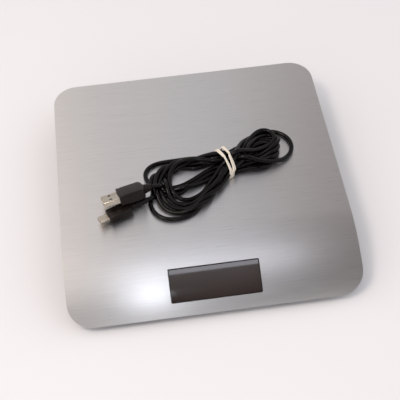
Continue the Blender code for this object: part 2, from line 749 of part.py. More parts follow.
LOAD_CELL_WIRE = (
    (-6, -1.8, 15), (-6, -7, 14.5), (-5, -13, 12.5), (-3, -20, 10.4), (-1, -28, 9.2), (1, -36, 8.8),
    (3, -44, 9.2), (5, -51, 10.8), (6, -57, 13), (7, -62, 15), (8, -65.5, 16.4),
)
BATTERY_WIRE = (
    (-9, 32.1, 12), (-12, 30, 11.8), (-18, 27.5, 11), (-26, 25.5, 10), (-34, 22.5, 9), (-41, 18, 8.2),
    (-46, 12, 7.8), (-48.5, 4, 7.6), (-48.5, -5, 7.6), (-47, -14, 7.6), (-44, -23, 7.8),
    (-40, -32, 8.2), (-36, -41, 9), (-32.5, -49, 10.8), (-30, -56, 13), (-28, -62, 15.2),
    (-27, -65.8, 16.5),
)
USB_WIRE = (
    (-60, 73.2, 9), (-60.3, 68, 8.6), (-61, 61, 8.2), (-62, 53, 8), (-63, 45, 8), (-63.5, 36, 8),
    (-63.5, 27, 8), (-63, 18, 8), (-62, 9, 8), (-60.5, 0, 8), (-58.5, -9, 8), (-56, -18, 8),
    (-53, -27, 8.2), (-49.5, -36, 8.8), (-46, -44, 10.2), (-42.5, -51, 12), (-39.5, -57, 14),
    (-36.5, -62, 15.5), (-34, -65.8, 16.6),
)
KEY_WIRE = (
    (82.4, -12, 17), (78.5, -15, 16), (74.5, -20, 14), (70, -26, 11.8), (64.5, -32.5, 10),
    (58, -39, 9.2), (51, -45.5, 9.6), (44, -51.5, 11.2), (38, -57, 13.4), (33, -62, 15.4),
    (29.5, -65.8, 16.6),
)


def make_wires():
    for name, points, radius in (
        ("load_cell_wire", LOAD_CELL_WIRE, 1.1 * MM),
        ("battery_wire", BATTERY_WIRE, 0.9 * MM),
        ("usb_wire", USB_WIRE, 0.9 * MM),
        ("key_wire", KEY_WIRE, 0.9 * MM),
    ):
        wire = tube([Vector(p) * MM for p in points], radius)
        part(wire, name, "cord_pvc")


# The lead on the plate ------------------------------------------------------------------------

HANK_OUTLINE = (
    (23, 14.8), (8, 15.4), (-8, 15.8), (-22, 15.2), (-32, 10.6), (-36.5, 4), (-35, -2.5), (-29.5, -7),
    (-26, -13), (-28.5, -20), (-36.5, -25), (-40.3, -31), (-37.5, -38.5), (-29.5, -43.4),
    (-17, -43.2), (-4, -36.5), (8, -24.5), (18, -12.5), (28, -7), (42, -3), (56, 0), (68, 5),
    (74.5, 13), (74, 22), (67, 29), (55, 29.5), (43, 24), (33, 18),
)
# Where each plug's mouth and tail are, over the plate, and how it is rolled about its length.
USB_A_MOUTH = Vector((-72.6, -22.4, 39.8)) * MM
USB_A_TAIL = Vector((-36.2, -13.6, 40.4)) * MM
USB_A_ROLL = math.radians(-27)
MINI_MOUTH = Vector((-75.8, -35.6, 35.4)) * MM
MINI_TAIL = Vector((-39.6, -20.4, 34.6)) * MM
MINI_ROLL = math.radians(-14)


def lying_along(mouth, tail, roll):
    """A rotation whose +X runs from a plug's mouth to its tail, turned about that by roll."""
    x = (tail - mouth).normalized()
    y = Vector((0, 0, 1)).cross(x).normalized()
    z = x.cross(y)
    upright = Matrix((x, y, z)).transposed()
    return upright @ Matrix.Rotation(roll, 3, "X")


def smooth_loop(points, steps=3):
    """A closed curve through the points, with steps to each stretch."""
    count = len(points)
    line = []
    for i in range(count):
        a, b, c, d = (Vector(points[(i + k) % count]) for k in (-1, 0, 1, 2))
        for j in range(steps):
            t = j / steps
            line.append(0.5 * (2 * b + (c - a) * t + (2 * a - 5 * b + 4 * c - d) * t * t
                               + (3 * b - a - 3 * c + d) * t ** 3))
    return [(p.x * MM, p.y * MM) for p in line]


def make_hank():
    """The hank's outer shape, with a groove round its waist for the tie."""
    middle = HANK_Z + HANK_H / 2
    hank = outline_solid(smooth_loop(HANK_OUTLINE), HANK_H, (0, 0, middle))
    turn = (0, 0, HANK_TURN)
    wide, thick = 4.2 * MM, 1.3 * MM
    across = 19.6 * MM
    spot = (*WAIST, middle)
    ring = block((wide + 2 * GAP, 60 * MM, 40 * MM), spot, turn)
    cut(ring, block((wide + MM, across - 2 * thick, HANK_H - 2 * thick - 2 * GAP), spot, turn))
    cut(hank, ring)
    part(hank, "cord_hank", "cord_pvc", "usb_lead")
    tie = block((wide, across, HANK_H - 0.2 * MM), spot, turn)
    cut(tie, block((2 * wide, across - 2 * thick + 2 * GAP, HANK_H - 2 * thick), spot, turn))
    part(tie, "cord_tie", "white_rubber", "usb_lead")


def along_plug(mouth, turn, x, y=0, z=0):
    """A point so far from the mouth along a plug, and off its middle."""
    return mouth + turn @ Vector((x, y, z))


def make_usb_a():
    turn = lying_along(USB_A_MOUTH, USB_A_TAIL, USB_A_ROLL)
    shell_l, shell_w, shell_h = 12.2 * MM, 12 * MM, 4.5 * MM

    def at(x, y=0, z=0):
        return along_plug(USB_A_MOUTH, turn, x, y, z)

    shell = block((shell_l - GAP, shell_w, shell_h), at(shell_l / 2 - GAP / 2), turn)
    cut(shell, block((shell_l - GAP, 11.3 * MM, 3.8 * MM), at(shell_l / 2 - GAP / 2 - 0.6 * MM), turn))
    for y in (-2.9 * MM, 2.9 * MM):
        cut(shell, block((2 * MM, 2.4 * MM, 20 * MM), at(6.2 * MM, y), turn))
    part(shell, "usb_a_shell", "plated_steel", "usb_lead")
    tongue = block((10 * MM, 10.6 * MM, 1.2 * MM), at(6.2 * MM, 0, -0.9 * MM), turn)
    part(tongue, "usb_a_tongue", "white_plastic", "usb_lead")
    body_l = 19 * MM
    grip = block((body_l, 15.6 * MM, 8 * MM), at(shell_l + body_l / 2), turn)
    edge = grip.modifiers.new("rounded_edges", "BEVEL")
    edge.width = 1.1 * MM
    edge.segments = 1
    tail = (USB_A_TAIL - USB_A_MOUTH).length
    along = turn @ Matrix.Rotation(math.radians(90), 3, "Y")
    start = shell_l + body_l - MM
    relief = rod(3.6 * MM, tail - start, at((start + tail) / 2), along, top_radius=2.1 * MM, segments=14)
    join(grip, relief)
    part(grip, "usb_a_body", "cord_pvc", "usb_lead")


def make_mini_plug():
    turn = lying_along(MINI_MOUTH, MINI_TAIL, MINI_ROLL)
    shell_l, shell_w, shell_h = 7.4 * MM, 7 * MM, 3.1 * MM

    def at(x, y=0, z=0):
        return along_plug(MINI_MOUTH, turn, x, y, z)

    shell = block((shell_l - GAP, shell_w, shell_h), at(shell_l / 2 - GAP / 2), turn)
    cut(shell, block((shell_l, shell_w - 0.8 * MM, shell_h - 0.8 * MM), at(shell_l / 2 - 0.8 * MM), turn))
    for y in (-shell_w / 2, shell_w / 2):
        cut(shell, block((20 * MM, 0.6 * MM, 0.5 * MM), at(0, y, 0.2 * MM), turn))
    part(shell, "mini_plug_shell", "plated_steel", "usb_lead")
    body_l = 18.5 * MM
    grip = block((body_l, 10.2 * MM, 6.8 * MM), at(shell_l + body_l / 2), turn)
    edge = grip.modifiers.new("rounded_edges", "BEVEL")
    edge.width = 1.2 * MM
    edge.segments = 2
    tail = (MINI_TAIL - MINI_MOUTH).length
    along = turn @ Matrix.Rotation(math.radians(90), 3, "Y")
    start = shell_l + body_l - MM
    relief = rod(2.9 * MM, tail - start, at((start + tail) / 2), along, top_radius=2.1 * MM, segments=14)
    join(grip, relief)
    part(grip, "mini_plug_body", "cord_pvc", "usb_lead")


def make_lead_ends():
    """The short stretches between the plugs and the hank."""
    for name, mouth, tail, hank_edge in (
        ("usb_a_cord_end", USB_A_MOUTH, USB_A_TAIL, Vector((-28.6, -11.4, 38.2)) * MM),
        ("mini_cord_end", MINI_MOUTH, MINI_TAIL, Vector((-29.4, -16.4, 34.4)) * MM),
    ):
        way = (tail - mouth).normalized()
        start = tail + way * GAP
        first = start + way * 3 * MM
        middle = (first + hank_edge) / 2 + Vector((0, 0, -0.2 * MM))
        part(tube([start, first, middle, hank_edge], CORD_D / 2), name, "cord_pvc", "usb_lead")


def main():
    body("base", (0, 0, 0))
    body("platform", (0, CELL_Y, PLATE_TOP))
    for name, y in KEY_Y.items():
        body(f"{name}_key_body", (BASE_W / 2, y, KEY_Z))
    body("battery_door_body", (0, (BAY_Y[0] + BAY_Y[1]) / 2, FLOOR_Z))
    body("usb_lead", (*WAIST, PLATE_TOP))
    make_plate()
    make_carrier()
    make_tape()
    make_load_cell()
    make_tray()
    make_cover()
    make_feet()
    make_housing_screws()
    make_display()
    make_keys()
    make_usb_socket()
    make_cells()
    make_battery_door()
    make_wires()
    make_hank()
    make_usb_a()
    make_mini_plug()
    make_lead_ends()


main()
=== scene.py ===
# %% [markdown]
# # A slim kitchen scale with its USB lead lying on it
# The scale is a brushed steel plate that rolls down over its front edge, on a shallow black base.
# A dark display window sits in the roll. The lead, with a large and a small plug, is folded
# into a hank on the plate and held by a rubber band.
# The CAD model is the frame. Every piece made here takes its place, in metres, from it.

# %% Open the frame
import math

import bmesh
import bpy
import numpy as np
from mathutils import Euler, Matrix, Vector


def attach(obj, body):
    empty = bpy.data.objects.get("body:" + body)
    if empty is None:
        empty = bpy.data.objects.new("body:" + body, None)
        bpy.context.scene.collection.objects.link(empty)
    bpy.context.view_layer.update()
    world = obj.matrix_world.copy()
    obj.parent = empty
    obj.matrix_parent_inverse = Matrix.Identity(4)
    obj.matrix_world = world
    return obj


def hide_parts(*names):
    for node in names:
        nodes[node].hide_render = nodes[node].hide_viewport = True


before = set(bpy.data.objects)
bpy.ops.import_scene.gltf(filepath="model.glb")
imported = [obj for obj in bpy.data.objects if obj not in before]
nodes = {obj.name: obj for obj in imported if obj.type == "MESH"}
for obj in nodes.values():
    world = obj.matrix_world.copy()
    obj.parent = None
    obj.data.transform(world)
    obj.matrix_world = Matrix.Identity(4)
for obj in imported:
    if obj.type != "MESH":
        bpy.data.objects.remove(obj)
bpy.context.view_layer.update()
MM = 0.001

# %% [markdown]
# ## The camera
# Small goods are usually shown from above and a little in front, at about arm's length.
# A lens of about 76 mm on a 36 mm frame flattens the perspective, as a catalogue picture does.

# %% Camera
camera_data = bpy.data.cameras.new("catalogue_camera")
camera_data.lens = 76.06
camera_data.shift_x = 0.0236  # sets the scale a little to the left of the middle
camera = bpy.data.objects.new("catalogue_camera", camera_data)
camera.location = (-0.04231, -0.38118, 0.53454)
camera.rotation_euler = Euler([math.radians(turn) for turn in (35.512, 1.5585, -7.5065)])
bpy.context.scene.collection.objects.link(camera)
bpy.context.scene.camera = camera
print("camera at", [round(v, 3) for v in camera.location])

# %% [markdown]
# ## How the lead is folded
# The lead is 3.4 mm thick PVC. It is folded to and fro in loops that share a waist, where a
# rubber band holds them. Loops of a real lead can't pass through each other, and they keep their
# length, so drawing them by hand never looks right. A design is drawn first: fourteen passes
# through the waist in three layers, with a loop at the left and a fold at the right between
# them. A small solver then lets the line sag, stiffen and push itself apart until it rests.

# %% Sizes of the lead and the place of its waist
CORD_D = 3.4  # the solver works in millimetres, with the plate's top at 0
PLATE_TOP = 30.0
WAIST = np.array([23.0, 4.2])
WAIST_TURN = math.radians(20)
ALONG = np.array([math.cos(WAIST_TURN), math.sin(WAIST_TURN)])
ACROSS = np.array([-math.sin(WAIST_TURN), math.cos(WAIST_TURN)])
FLOOR_GAP = 0.02  # between the lead and the plate's top
BAND_SPACE = 1.1  # the band passes under the lead, which lifts the passes by this
LAYER_RISE = CORD_D * 0.866  # from one layer of nested round cords to the next
LAYERS = [CORD_D / 2 + FLOOR_GAP + BAND_SPACE + LAYER_RISE * k for k in range(3)]
# For each pass through the waist: how far across, and in which layer.
PASSES = {
    2: (-6.8, 0), 13: (-3.4, 0), 0: (0, 0), 1: (3.4, 0), 3: (6.8, 0),
    4: (-5.1, 1), 6: (-1.7, 1), 5: (1.7, 1), 7: (5.1, 1),
    8: (-6.8, 2), 10: (-3.4, 2), 12: (0, 2), 11: (3.4, 2), 9: (6.8, 2),
}
# Each loop: its reach from the waist, half its width, how far it leans, its height when laid,
# and how far out it is widest: 1.25 for a round loop, 2 for a fan with its fold at the far end.
LEFT_LOOPS = [
    (61, 15, 0.24, 1.8, 1.25), (69.5, 21.5, -0.10, 3.4, 1.25), (61.5, 22, -0.06, 4.8, 1.25),
    (57, 20.3, -0.055, 6.2, 1.25), (53, 18.2, -0.05, 7.8, 1.25), (48.7, 15.6, 0, 9.6, 1.25),
]
RIGHT_FOLDS = [
    (33, 7.4, -0.24, 1.8, 2), (36, 7.8, -0.15, 3.2, 2), (40, 8.0, -0.06, 4.6, 2),
    (43, 8.0, 0.02, 6.0, 2), (46, 8.2, 0.10, 7.0, 2), (53.5, 15.5, -0.01, 7.4, 1.25),
    (45.5, 8.0, 0.15, 8.6, 2),
]
TOP_FIRST = {4, 5}  # the right folds that are laid from their upper side
USB_A_LEAD = [
    (-36.2, -13.6, 10.4), (-33.0, -12.9, 9.4), (-29.6, -12.2, 6.8), (-25, -11.6, 3.6),
    (-18, -11.2, 2.0), (-9, -8.6, 1.75), (0, -4.2, 1.9), (9, 0.2, 2.4),
]
MINI_LEAD = [
    (-39.6, -20.4, 4.6), (-36.6, -19.0, 4.2), (-33, -17.4, 3.0), (-27, -16.2, 2.0),
    (-18, -14.6, 1.75), (-8, -10.8, 1.75), (2, -5.5, 1.9), (11, 0.2, 2.4),
]


# %% One loop of the design
WAIST_HALF = 3  # the passes run straight for this far on each side of the waist
LOOP_STARTS = 7  # a loop's own points start this far out, so that the lead leaves the band freely


def loop_points(reach, half, lean, crown, fan, start, end, side, top_first):
    """Points from the waist, out round a loop and back, as (along, across, height)."""
    turn = np.arange(1, 22) / 22 * 2 * math.pi
    profile = np.sin(turn) * np.sin(turn / 2) ** fan
    share = turn / (2 * math.pi)
    out = reach * (1 - np.cos(turn)) / 2
    near = (1 - np.sin(turn / 2)) ** 2
    across = (1 if top_first else -1) * half * profile / profile.max() + lean * out
    fade = (1 - np.sin(turn / 2)) ** (1 if side > 0 else 2)  # the right folds stay straight
    across += (start[0] * (1 - share) + end[0] * share) * fade
    height = (start[1] * (1 - share) + end[1] * share) * near + crown * (1 - near)
    return [(side * u, v, z) for u, v, z in zip(out, across, height) if u > LOOP_STARTS]


def waist_frame(point):
    """A point over the plate, as (along, across, height) at the waist."""
    off = np.array(point[:2]) - WAIST
    return (off @ ALONG, off @ ACROSS, point[2])


# %% The whole design, one line from plug to plug
def lead_design():
    """The lead as drawn, from the large plug to the small one, as (along, across, height)."""
    slots = {k: (across, LAYERS[layer]) for k, (across, layer) in PASSES.items()}
    line = [waist_frame(p) for p in USB_A_LEAD]
    for k in range(7):
        first, second = slots[2 * k], slots[2 * k + 1]
        line += [(u, *first) for u in (-WAIST_HALF, 0, WAIST_HALF)]
        line += loop_points(*RIGHT_FOLDS[k], first, second, 1, k in TOP_FIRST)
        line += [(u, *second) for u in (WAIST_HALF, 0, -WAIST_HALF)]
        if k < 6:
            line += loop_points(*LEFT_LOOPS[k], second, slots[2 * k + 2], -1, True)
    return np.array(line + [waist_frame(p) for p in MINI_LEAD[::-1]])


def even_line(points, step):
    """The smooth line through the points, as points an even step apart."""
    count, fine = len(points), []
    for i in range(count - 1):  # a Catmull-Rom spline, in eight parts from point to point
        a, b = points[max(i - 1, 0)], points[i]
        c, d = points[i + 1], points[min(i + 2, count - 1)]
        for t in np.arange(8) / 8:
            fine.append(0.5 * (2 * b + (c - a) * t + (2 * a - 5 * b + 4 * c - d) * t ** 2
                               + (3 * b - a - 3 * c + d) * t ** 3))
    fine = np.array(fine + [points[-1]])
    run = np.r_[0, np.cumsum(np.linalg.norm(np.diff(fine, axis=0), axis=1))]
    pieces = int(round(run[-1] / step))
    at = np.linspace(0, run[-1], pieces + 1)
    return np.stack([np.interp(at, run, fine[:, k]) for k in range(3)], 1), run[-1] / pieces


design, STEP = even_line(lead_design(), 2.8)
print("lead design:", len(design), "points,", round(len(design) * STEP), "mm")

# %% [markdown]
# The solver moves the points in small steps. Each round pulls the line down, evens out its
# bends, opens those that are too tight, pushes apart points that come nearer than one
# diameter, and keeps the spacing along the lead. The last rounds pull less and push more, so
# that the lead comes to rest. Both ends stay in their plugs, and the passes stay in the band.

# %% Let the lead settle
PLUG_SPACE = [  # a line and a radius that the lead stays clear of, for each plug
    ((-62, -19, 9.2), (-42, -14, 8.6), 7.5),
    ((-68, -33, 5.0), (-50, -25, 5.0), 5.2),
    ((-50, -25, 5.0), (-41.5, -21.2, 4.7), 2.6),
]
ROUNDS = 300
TIGHTEST = 2.5 * CORD_D  # the bend radius that the solver aims for, so that 2 diameters are kept
REACH_IN_BAND = 8.9  # the passes stay within this of the waist's middle, and this high
BAND_HEIGHTS = (LAYERS[0], LAYERS[2] + 0.9)
NEIGHBOURS = int(round(2.4 * CORD_D / STEP))  # points nearer along the lead don't push apart
EVEN_WEIGHT = 0.24  # above 0.25, small zigzags would turn into large ones


def even_bends(line):
    """Spreads sharp bends along the line."""
    bend = np.zeros_like(line)
    bend[1:-1] = (line[:-2] + line[2:]) / 2 - line[1:-1]
    change = np.zeros_like(line)
    change[1:-1] = (bend[:-2] + bend[2:]) / 2 - bend[1:-1]
    return line - EVEN_WEIGHT * change


def push_apart(line, first, second):
    """Moves points of the lead that are nearer than one diameter."""
    way = line[second] - line[first]
    gap = np.linalg.norm(way, axis=1)
    hit = gap < CORD_D * 1.005
    if not hit.any():
        return line
    a, b, far = first[hit], second[hit], np.maximum(gap[hit], 1e-6)
    push = way[hit] / far[:, None] * ((CORD_D * 1.01 - far) / 2)[:, None]
    total, count = np.zeros_like(line), np.zeros(len(line))
    np.add.at(total, a, -push)
    np.add.at(total, b, push)
    np.add.at(count, a, 1)
    np.add.at(count, b, 1)
    return line + total / np.maximum(count, 1)[:, None]


def clear_plugs(line):
    """Moves the lead off the plugs, except at its own two ends."""
    for low, high, radius in PLUG_SPACE:
        low, high = np.array(low), np.array(high)
        axis = high - low
        share = np.clip(((line - low) @ axis) / (axis @ axis), 0, 1)
        off = line - (low + share[:, None] * axis)
        far = np.linalg.norm(off, axis=1)
        near = far < radius + CORD_D / 2
        near[:6] = near[-8:] = False
        line[near] += (off[near] / far[near][:, None]
                       * (radius + CORD_D / 2 - far[near])[:, None] * 0.5)
    return line


def hold_in_band(line, inside):
    """Keeps the passes through the waist within the band."""
    off = line[inside] - np.r_[WAIST, 0]
    along = off[:, :2] @ ALONG
    across = np.clip(off[:, :2] @ ACROSS, -REACH_IN_BAND, REACH_IN_BAND)
    line[inside, :2] = WAIST + along[:, None] * ALONG + across[:, None] * ACROSS
    line[inside, 2] = np.clip(line[inside, 2], *BAND_HEIGHTS)
    return line


def keep_spacing(line):
    """Brings neighbours back to one step apart, even pairs and then odd ones."""
    for start in (0, 1):
        i = np.arange(start, len(line) - 1, 2)
        way = line[i + 1] - line[i]
        far = np.linalg.norm(way, axis=1)[:, None]
        shift = way * (far - STEP) / 2 / far
        line[i] += shift
        line[i + 1] -= shift
    return line


def ease_bends(line):
    """Opens each bend that is tighter than the radius that the solver aims for."""
    bend = line[1:-1] - (line[:-2] + line[2:]) / 2
    deep = np.linalg.norm(bend, axis=1)[:, None]
    over = np.maximum(deep - STEP ** 2 / (2 * TIGHTEST), 0)
    shift = bend * over / np.maximum(deep, 1e-9) * 0.4
    line[1:-1] -= shift
    line[:-2] += shift / 2
    line[2:] += shift / 2
    return line


def settle(plan):
    """The design, in millimetres over the plate, after it has come to rest."""
    home = np.column_stack([WAIST + plan[:, :1] * ALONG + plan[:, 1:2] * ACROSS, plan[:, 2]])
    line = home.copy()
    count = len(line)
    pairs = np.triu_indices(count, NEIGHBOURS)
    ends = np.r_[0:2, count - 2:count]
    inside = np.abs(plan[:, 0]) < WAIST_HALF - 0.1
    for k in range(ROUNDS):
        late, last = k > 0.75 * ROUNDS, k > 0.8 * ROUNDS
        if k % 12 == 0:  # only pairs that are near now can meet in the next few rounds
            gap2 = ((line[pairs[1]] - line[pairs[0]]) ** 2).sum(1)
            close = gap2 < (2 * CORD_D) ** 2
            first, second = pairs[0][close], pairs[1][close]
        sag, pull_home = (0.01, 0.004) if late else (0.06, 0.02)
        line[:, 2] -= sag
        for _ in range(2 if last else 6):
            line = even_bends(line)
        line[:, :2] += pull_home * (home[:, :2] - line[:, :2])
        line = hold_in_band(line, inside)
        for _ in range(10 if last else 4):
            line = push_apart(ease_bends(line), first, second)
            line = keep_spacing(clear_plugs(line))
            line[:, 2] = np.maximum(line[:, 2], CORD_D / 2 + FLOOR_GAP)
            line[ends] = home[ends]
    return line


lead_line = settle(design)

# %% [markdown]
# The lead itself is a curve with a round section. A spline smooths what lies between the
# solver's points.

# %% The lead as a round curve
lead_curve = bpy.data.curves.new("usb_lead_cord", "CURVE")
lead_curve.dimensions = "3D"
lead_curve.bevel_depth = CORD_D / 2 * MM
lead_curve.bevel_resolution = 4
lead_curve.use_fill_caps = True
spline = lead_curve.splines.new("NURBS")
spline.points.add(len(lead_line) - 1)
for point, (x, y, z) in zip(spline.points, lead_line):
    point.co = (x * MM, y * MM, (PLATE_TOP + z) * MM, 1)
spline.order_u = 4
spline.use_endpoint_u = True
spline.resolution_u = 3
spline.use_smooth = True
lead = bpy.data.objects.new("usb_lead_cord", lead_curve)
bpy.context.scene.collection.objects.link(lead)

# %% [markdown]
# ## Helpers for finishes
# A finish is a node material. Each starts from what the real surface is. Colours are written
# as sRGB hex, as a paint chart gives them, and turned to linear light by one function.

# %% Colour and node helpers
def linear(code):
    """A hex colour such as #8a8784, as linear light with an alpha of 1."""
    values = [int(code[i:i + 2], 16) / 255 for i in (1, 3, 5)]
    return (*[v / 12.92 if v <= 0.04045 else ((v + 0.055) / 1.055) ** 2.4 for v in values], 1.0)


def add_node(tree, kind, sockets=None, **settings):
    """Adds a node. A socket's value is a number, a colour, or another node's output to link."""
    node = tree.nodes.new(kind)
    for name, value in settings.items():
        setattr(node, name, value)
    for key, value in (sockets or {}).items():
        if isinstance(value, bpy.types.NodeSocket):
            tree.links.new(value, node.inputs[key])
        else:
            node.inputs[key].default_value = value
    return node


def new_finish(name, sockets):
    """A material with one Principled shader, whose even values are set on its own sockets."""
    material = bpy.data.materials.new(name)
    material.use_nodes = True
    tree = material.node_tree
    tree.nodes.clear()
    shader = add_node(tree, "ShaderNodeBsdfPrincipled", sockets)
    add_node(tree, "ShaderNodeOutputMaterial", {"Surface": shader.outputs[0]})
    return material, tree, shader


def per_mm(size):
    """The noise scale, per metre, for a pattern whose features are this many mm."""
    return 1 / (size * MM)


def ramp(tree, factor, stops):
    """A colour ramp with its stops at the given places."""
    node = add_node(tree, "ShaderNodeValToRGB", {"Fac": factor})
    elements = node.color_ramp.elements
    elements[0].position, elements[0].color = stops[0][0], linear(stops[0][1])
    elements[1].position, elements[1].color = stops[-1][0], linear(stops[-1][1])
    for place, code in stops[1:-1]:
        elements.new(place).color = linear(code)
    return node.outputs["Color"]


# %% Mottle, gloss and grain shared by moulded and plated finishes
def moulded(name, sockets, colours, mottle_mm, gloss, gloss_mm, grain_mm, grain_depth):
    """A finish whose colour and gloss drift over millimetres, with a fine grain in its surface.
    colours and gloss are the two ends of each drift. grain_depth is in mm, as the sizes are."""
    material, tree, shader = new_finish(name, sockets)
    place = add_node(tree, "ShaderNodeTexCoord").outputs["Object"]
    mottle = add_node(tree, "ShaderNodeTexNoise", {"Vector": place, "Scale": per_mm(mottle_mm),
                                                   "Detail": 3.0})
    colour = ramp(tree, mottle.outputs["Fac"], [(0.3, colours[0]), (0.7, colours[1])])
    tree.links.new(colour, shader.inputs["Base Color"])
    wear = add_node(tree, "ShaderNodeTexNoise", {"Vector": place, "Scale": per_mm(gloss_mm),
                                                 "Detail": 4.0})
    sheen = add_node(tree, "ShaderNodeMapRange", {"Value": wear.outputs["Fac"], 1: 0.3, 2: 0.7,
                                                  3: gloss[0], 4: gloss[1]})
    tree.links.new(sheen.outputs[0], shader.inputs["Roughness"])
    grain = add_node(tree, "ShaderNodeTexNoise", {"Vector": place, "Scale": per_mm(grain_mm),
                                                  "Detail": 2.0})
    bump = add_node(tree, "ShaderNodeBump", {"Height": grain.outputs["Fac"], "Strength": 0.5,
                                             "Distance": grain_depth * MM})
    tree.links.new(bump.outputs[0], shader.inputs["Normal"])
    return material


# %% [markdown]
# ## Flexible PVC for the lead and the plugs
# The lead's jacket is extruded black PVC: smooth, and glossy enough to show the lamps as long
# thin highlights. The plugs' grips are moulded from the same plastic in an etched mould, so
# they are a little duller. Handling leaves both slightly uneven in gloss.

# %% PVC finishes
# Very dark and glossy: the turns keep apart by thin highlights, with deep black between them.
cord_pvc = moulded("extruded_black_pvc", {"IOR": 1.53, "Specular IOR Level": 0.15},
                   ("#050302", "#0a0706"), 14, (0.08, 0.15), 5, 0.9, 0.01)
# A little lighter and duller, so that the grips' flat faces show against the lead.
grip_pvc = moulded("moulded_black_pvc", {"IOR": 1.53, "Specular IOR Level": 0.16},
                   ("#120d0b", "#1a1411"), 8, (0.26, 0.38), 4, 0.5, 0.02)
lead_curve.materials.append(cord_pvc)

# %% [markdown]
# ## Geometry Nodes, and turning their result into a plain mesh
# A node tree that repeats or bends a shape needs named inputs for its sizes. These helpers make
# such a tree, set its inputs by their identifiers, and keep only the finished mesh.

# %% Tree, run and mesh helpers
def new_tree(name, **inputs):
    """A geometry tree with named inputs, and its input node. The first input is the geometry."""
    tree = bpy.data.node_groups.new(name, "GeometryNodeTree")
    tree.interface.new_socket("Geometry", in_out="INPUT", socket_type="NodeSocketGeometry")
    for label, kind in inputs.items():
        tree.interface.new_socket(label, in_out="INPUT", socket_type="NodeSocket" + kind)
    tree.interface.new_socket("Geometry", in_out="OUTPUT", socket_type="NodeSocketGeometry")
    return tree, add_node(tree, "NodeGroupInput")


def close_tree(tree, geometry, material):
    """Ends a tree in real geometry with its finish set."""
    real = add_node(tree, "GeometryNodeRealizeInstances", {"Geometry": geometry})
    done = add_node(tree, "GeometryNodeSetMaterial", {"Geometry": real.outputs[0],
                                                      "Material": material})
    add_node(tree, "NodeGroupOutput", {0: done.outputs[0]})


def plain_mesh(obj, name):
    """The object as it is evaluated, as a new plain object. The old one is removed."""
    bpy.context.view_layer.update()
    evaluated = obj.evaluated_get(bpy.context.evaluated_depsgraph_get())
    mesh = bpy.data.meshes.new_from_object(evaluated)
    mesh.transform(obj.matrix_world)
    bpy.data.objects.remove(obj)
    made = bpy.data.objects.new(name, mesh)
    mesh.name = name
    bpy.context.scene.collection.objects.link(made)
    return made


def empty_mesh(name):
    obj = bpy.data.objects.new(name, bpy.data.meshes.new(name))
    bpy.context.scene.collection.objects.link(obj)
    return obj


def run_tree(obj, tree, name, **values):
    """Runs a tree on the object with the given inputs, and keeps the mesh that it makes."""
    modifier = obj.modifiers.new(tree.name, "NODES")
    modifier.node_group = tree
    for item in tree.interface.items_tree:
        if item.item_type == "SOCKET" and item.in_out == "INPUT" and item.name in values:
            modifier[item.identifier] = values[item.name]
    return plain_mesh(obj, name)


def smooth(obj, angle=35):
    """Smooth shading, with edges sharper than the angle kept."""
    obj.data.shade_smooth()
    obj.data.set_sharp_from_angle(angle=math.radians(angle))
    return obj


def counted(obj):
    obj.data.calc_loop_triangles()
    print(f"{obj.name}: {len(obj.data.loop_triangles)} triangles")
    return obj


# %% [markdown]
# ## The plate
# On the real scale the top is one sheet of 1 mm steel. It is punched flat, with a hole for the
# display, brushed on a belt, and then rolled down over its front edge. This script does the same:
# it draws the flat cut, slices it into narrow strips where it will bend, and a Geometry Nodes
# tree rolls it round the front. Its flat layout is kept as a UV map, so that the brushing
# follows the sheet round the bend, as it does on the real one.

# %% Sizes of the sheet
PLATE_W = 210 * MM
FLAT_LEN = 149 * MM  # from the back edge to where the roll starts
ROLL_R = 84 * MM
SHEET_LEN = FLAT_LEN + 65 * MM  # measured along the sheet
REAR_Y = (FLAT_LEN + ROLL_R * math.sin((SHEET_LEN - FLAT_LEN) / ROLL_R)) / 2
CORNER_R = 18 * MM
WINDOW_HALF = 32.5 * MM
WINDOW_BACK, WINDOW_FRONT = SHEET_LEN - 34.2 * MM, SHEET_LEN - 9.9 * MM
STRIP = 1.25 * MM  # the width of a strip where the sheet bends
COLUMN = 16  # mm, the width of a column of faces


# %% Flat cuts
def rounded_outline(low, high, radius, steps):
    """The corners of a rounded rectangle, as points going round it."""
    points = []
    for x, y, start in ((high[0], high[1], 0), (low[0], high[1], 90),
                        (low[0], low[1], 180), (high[0], low[1], 270)):
        cx = x - math.copysign(radius, x - (low[0] + high[0]) / 2)
        cy = y - math.copysign(radius, y - (low[1] + high[1]) / 2)
        for k in range(steps + 1):
            turn = math.radians(start + 90 * k / steps)
            points.append((cx + radius * math.cos(turn), cy + radius * math.sin(turn)))
    return points


def half_width(run, half, back, front, corner):
    """Half the sheet's width at a run from the plate's back edge, less in the round corners."""
    into = max(corner - min(run - back, front - run), 0)
    return half - corner + math.sqrt(max(corner ** 2 - into ** 2, 0))


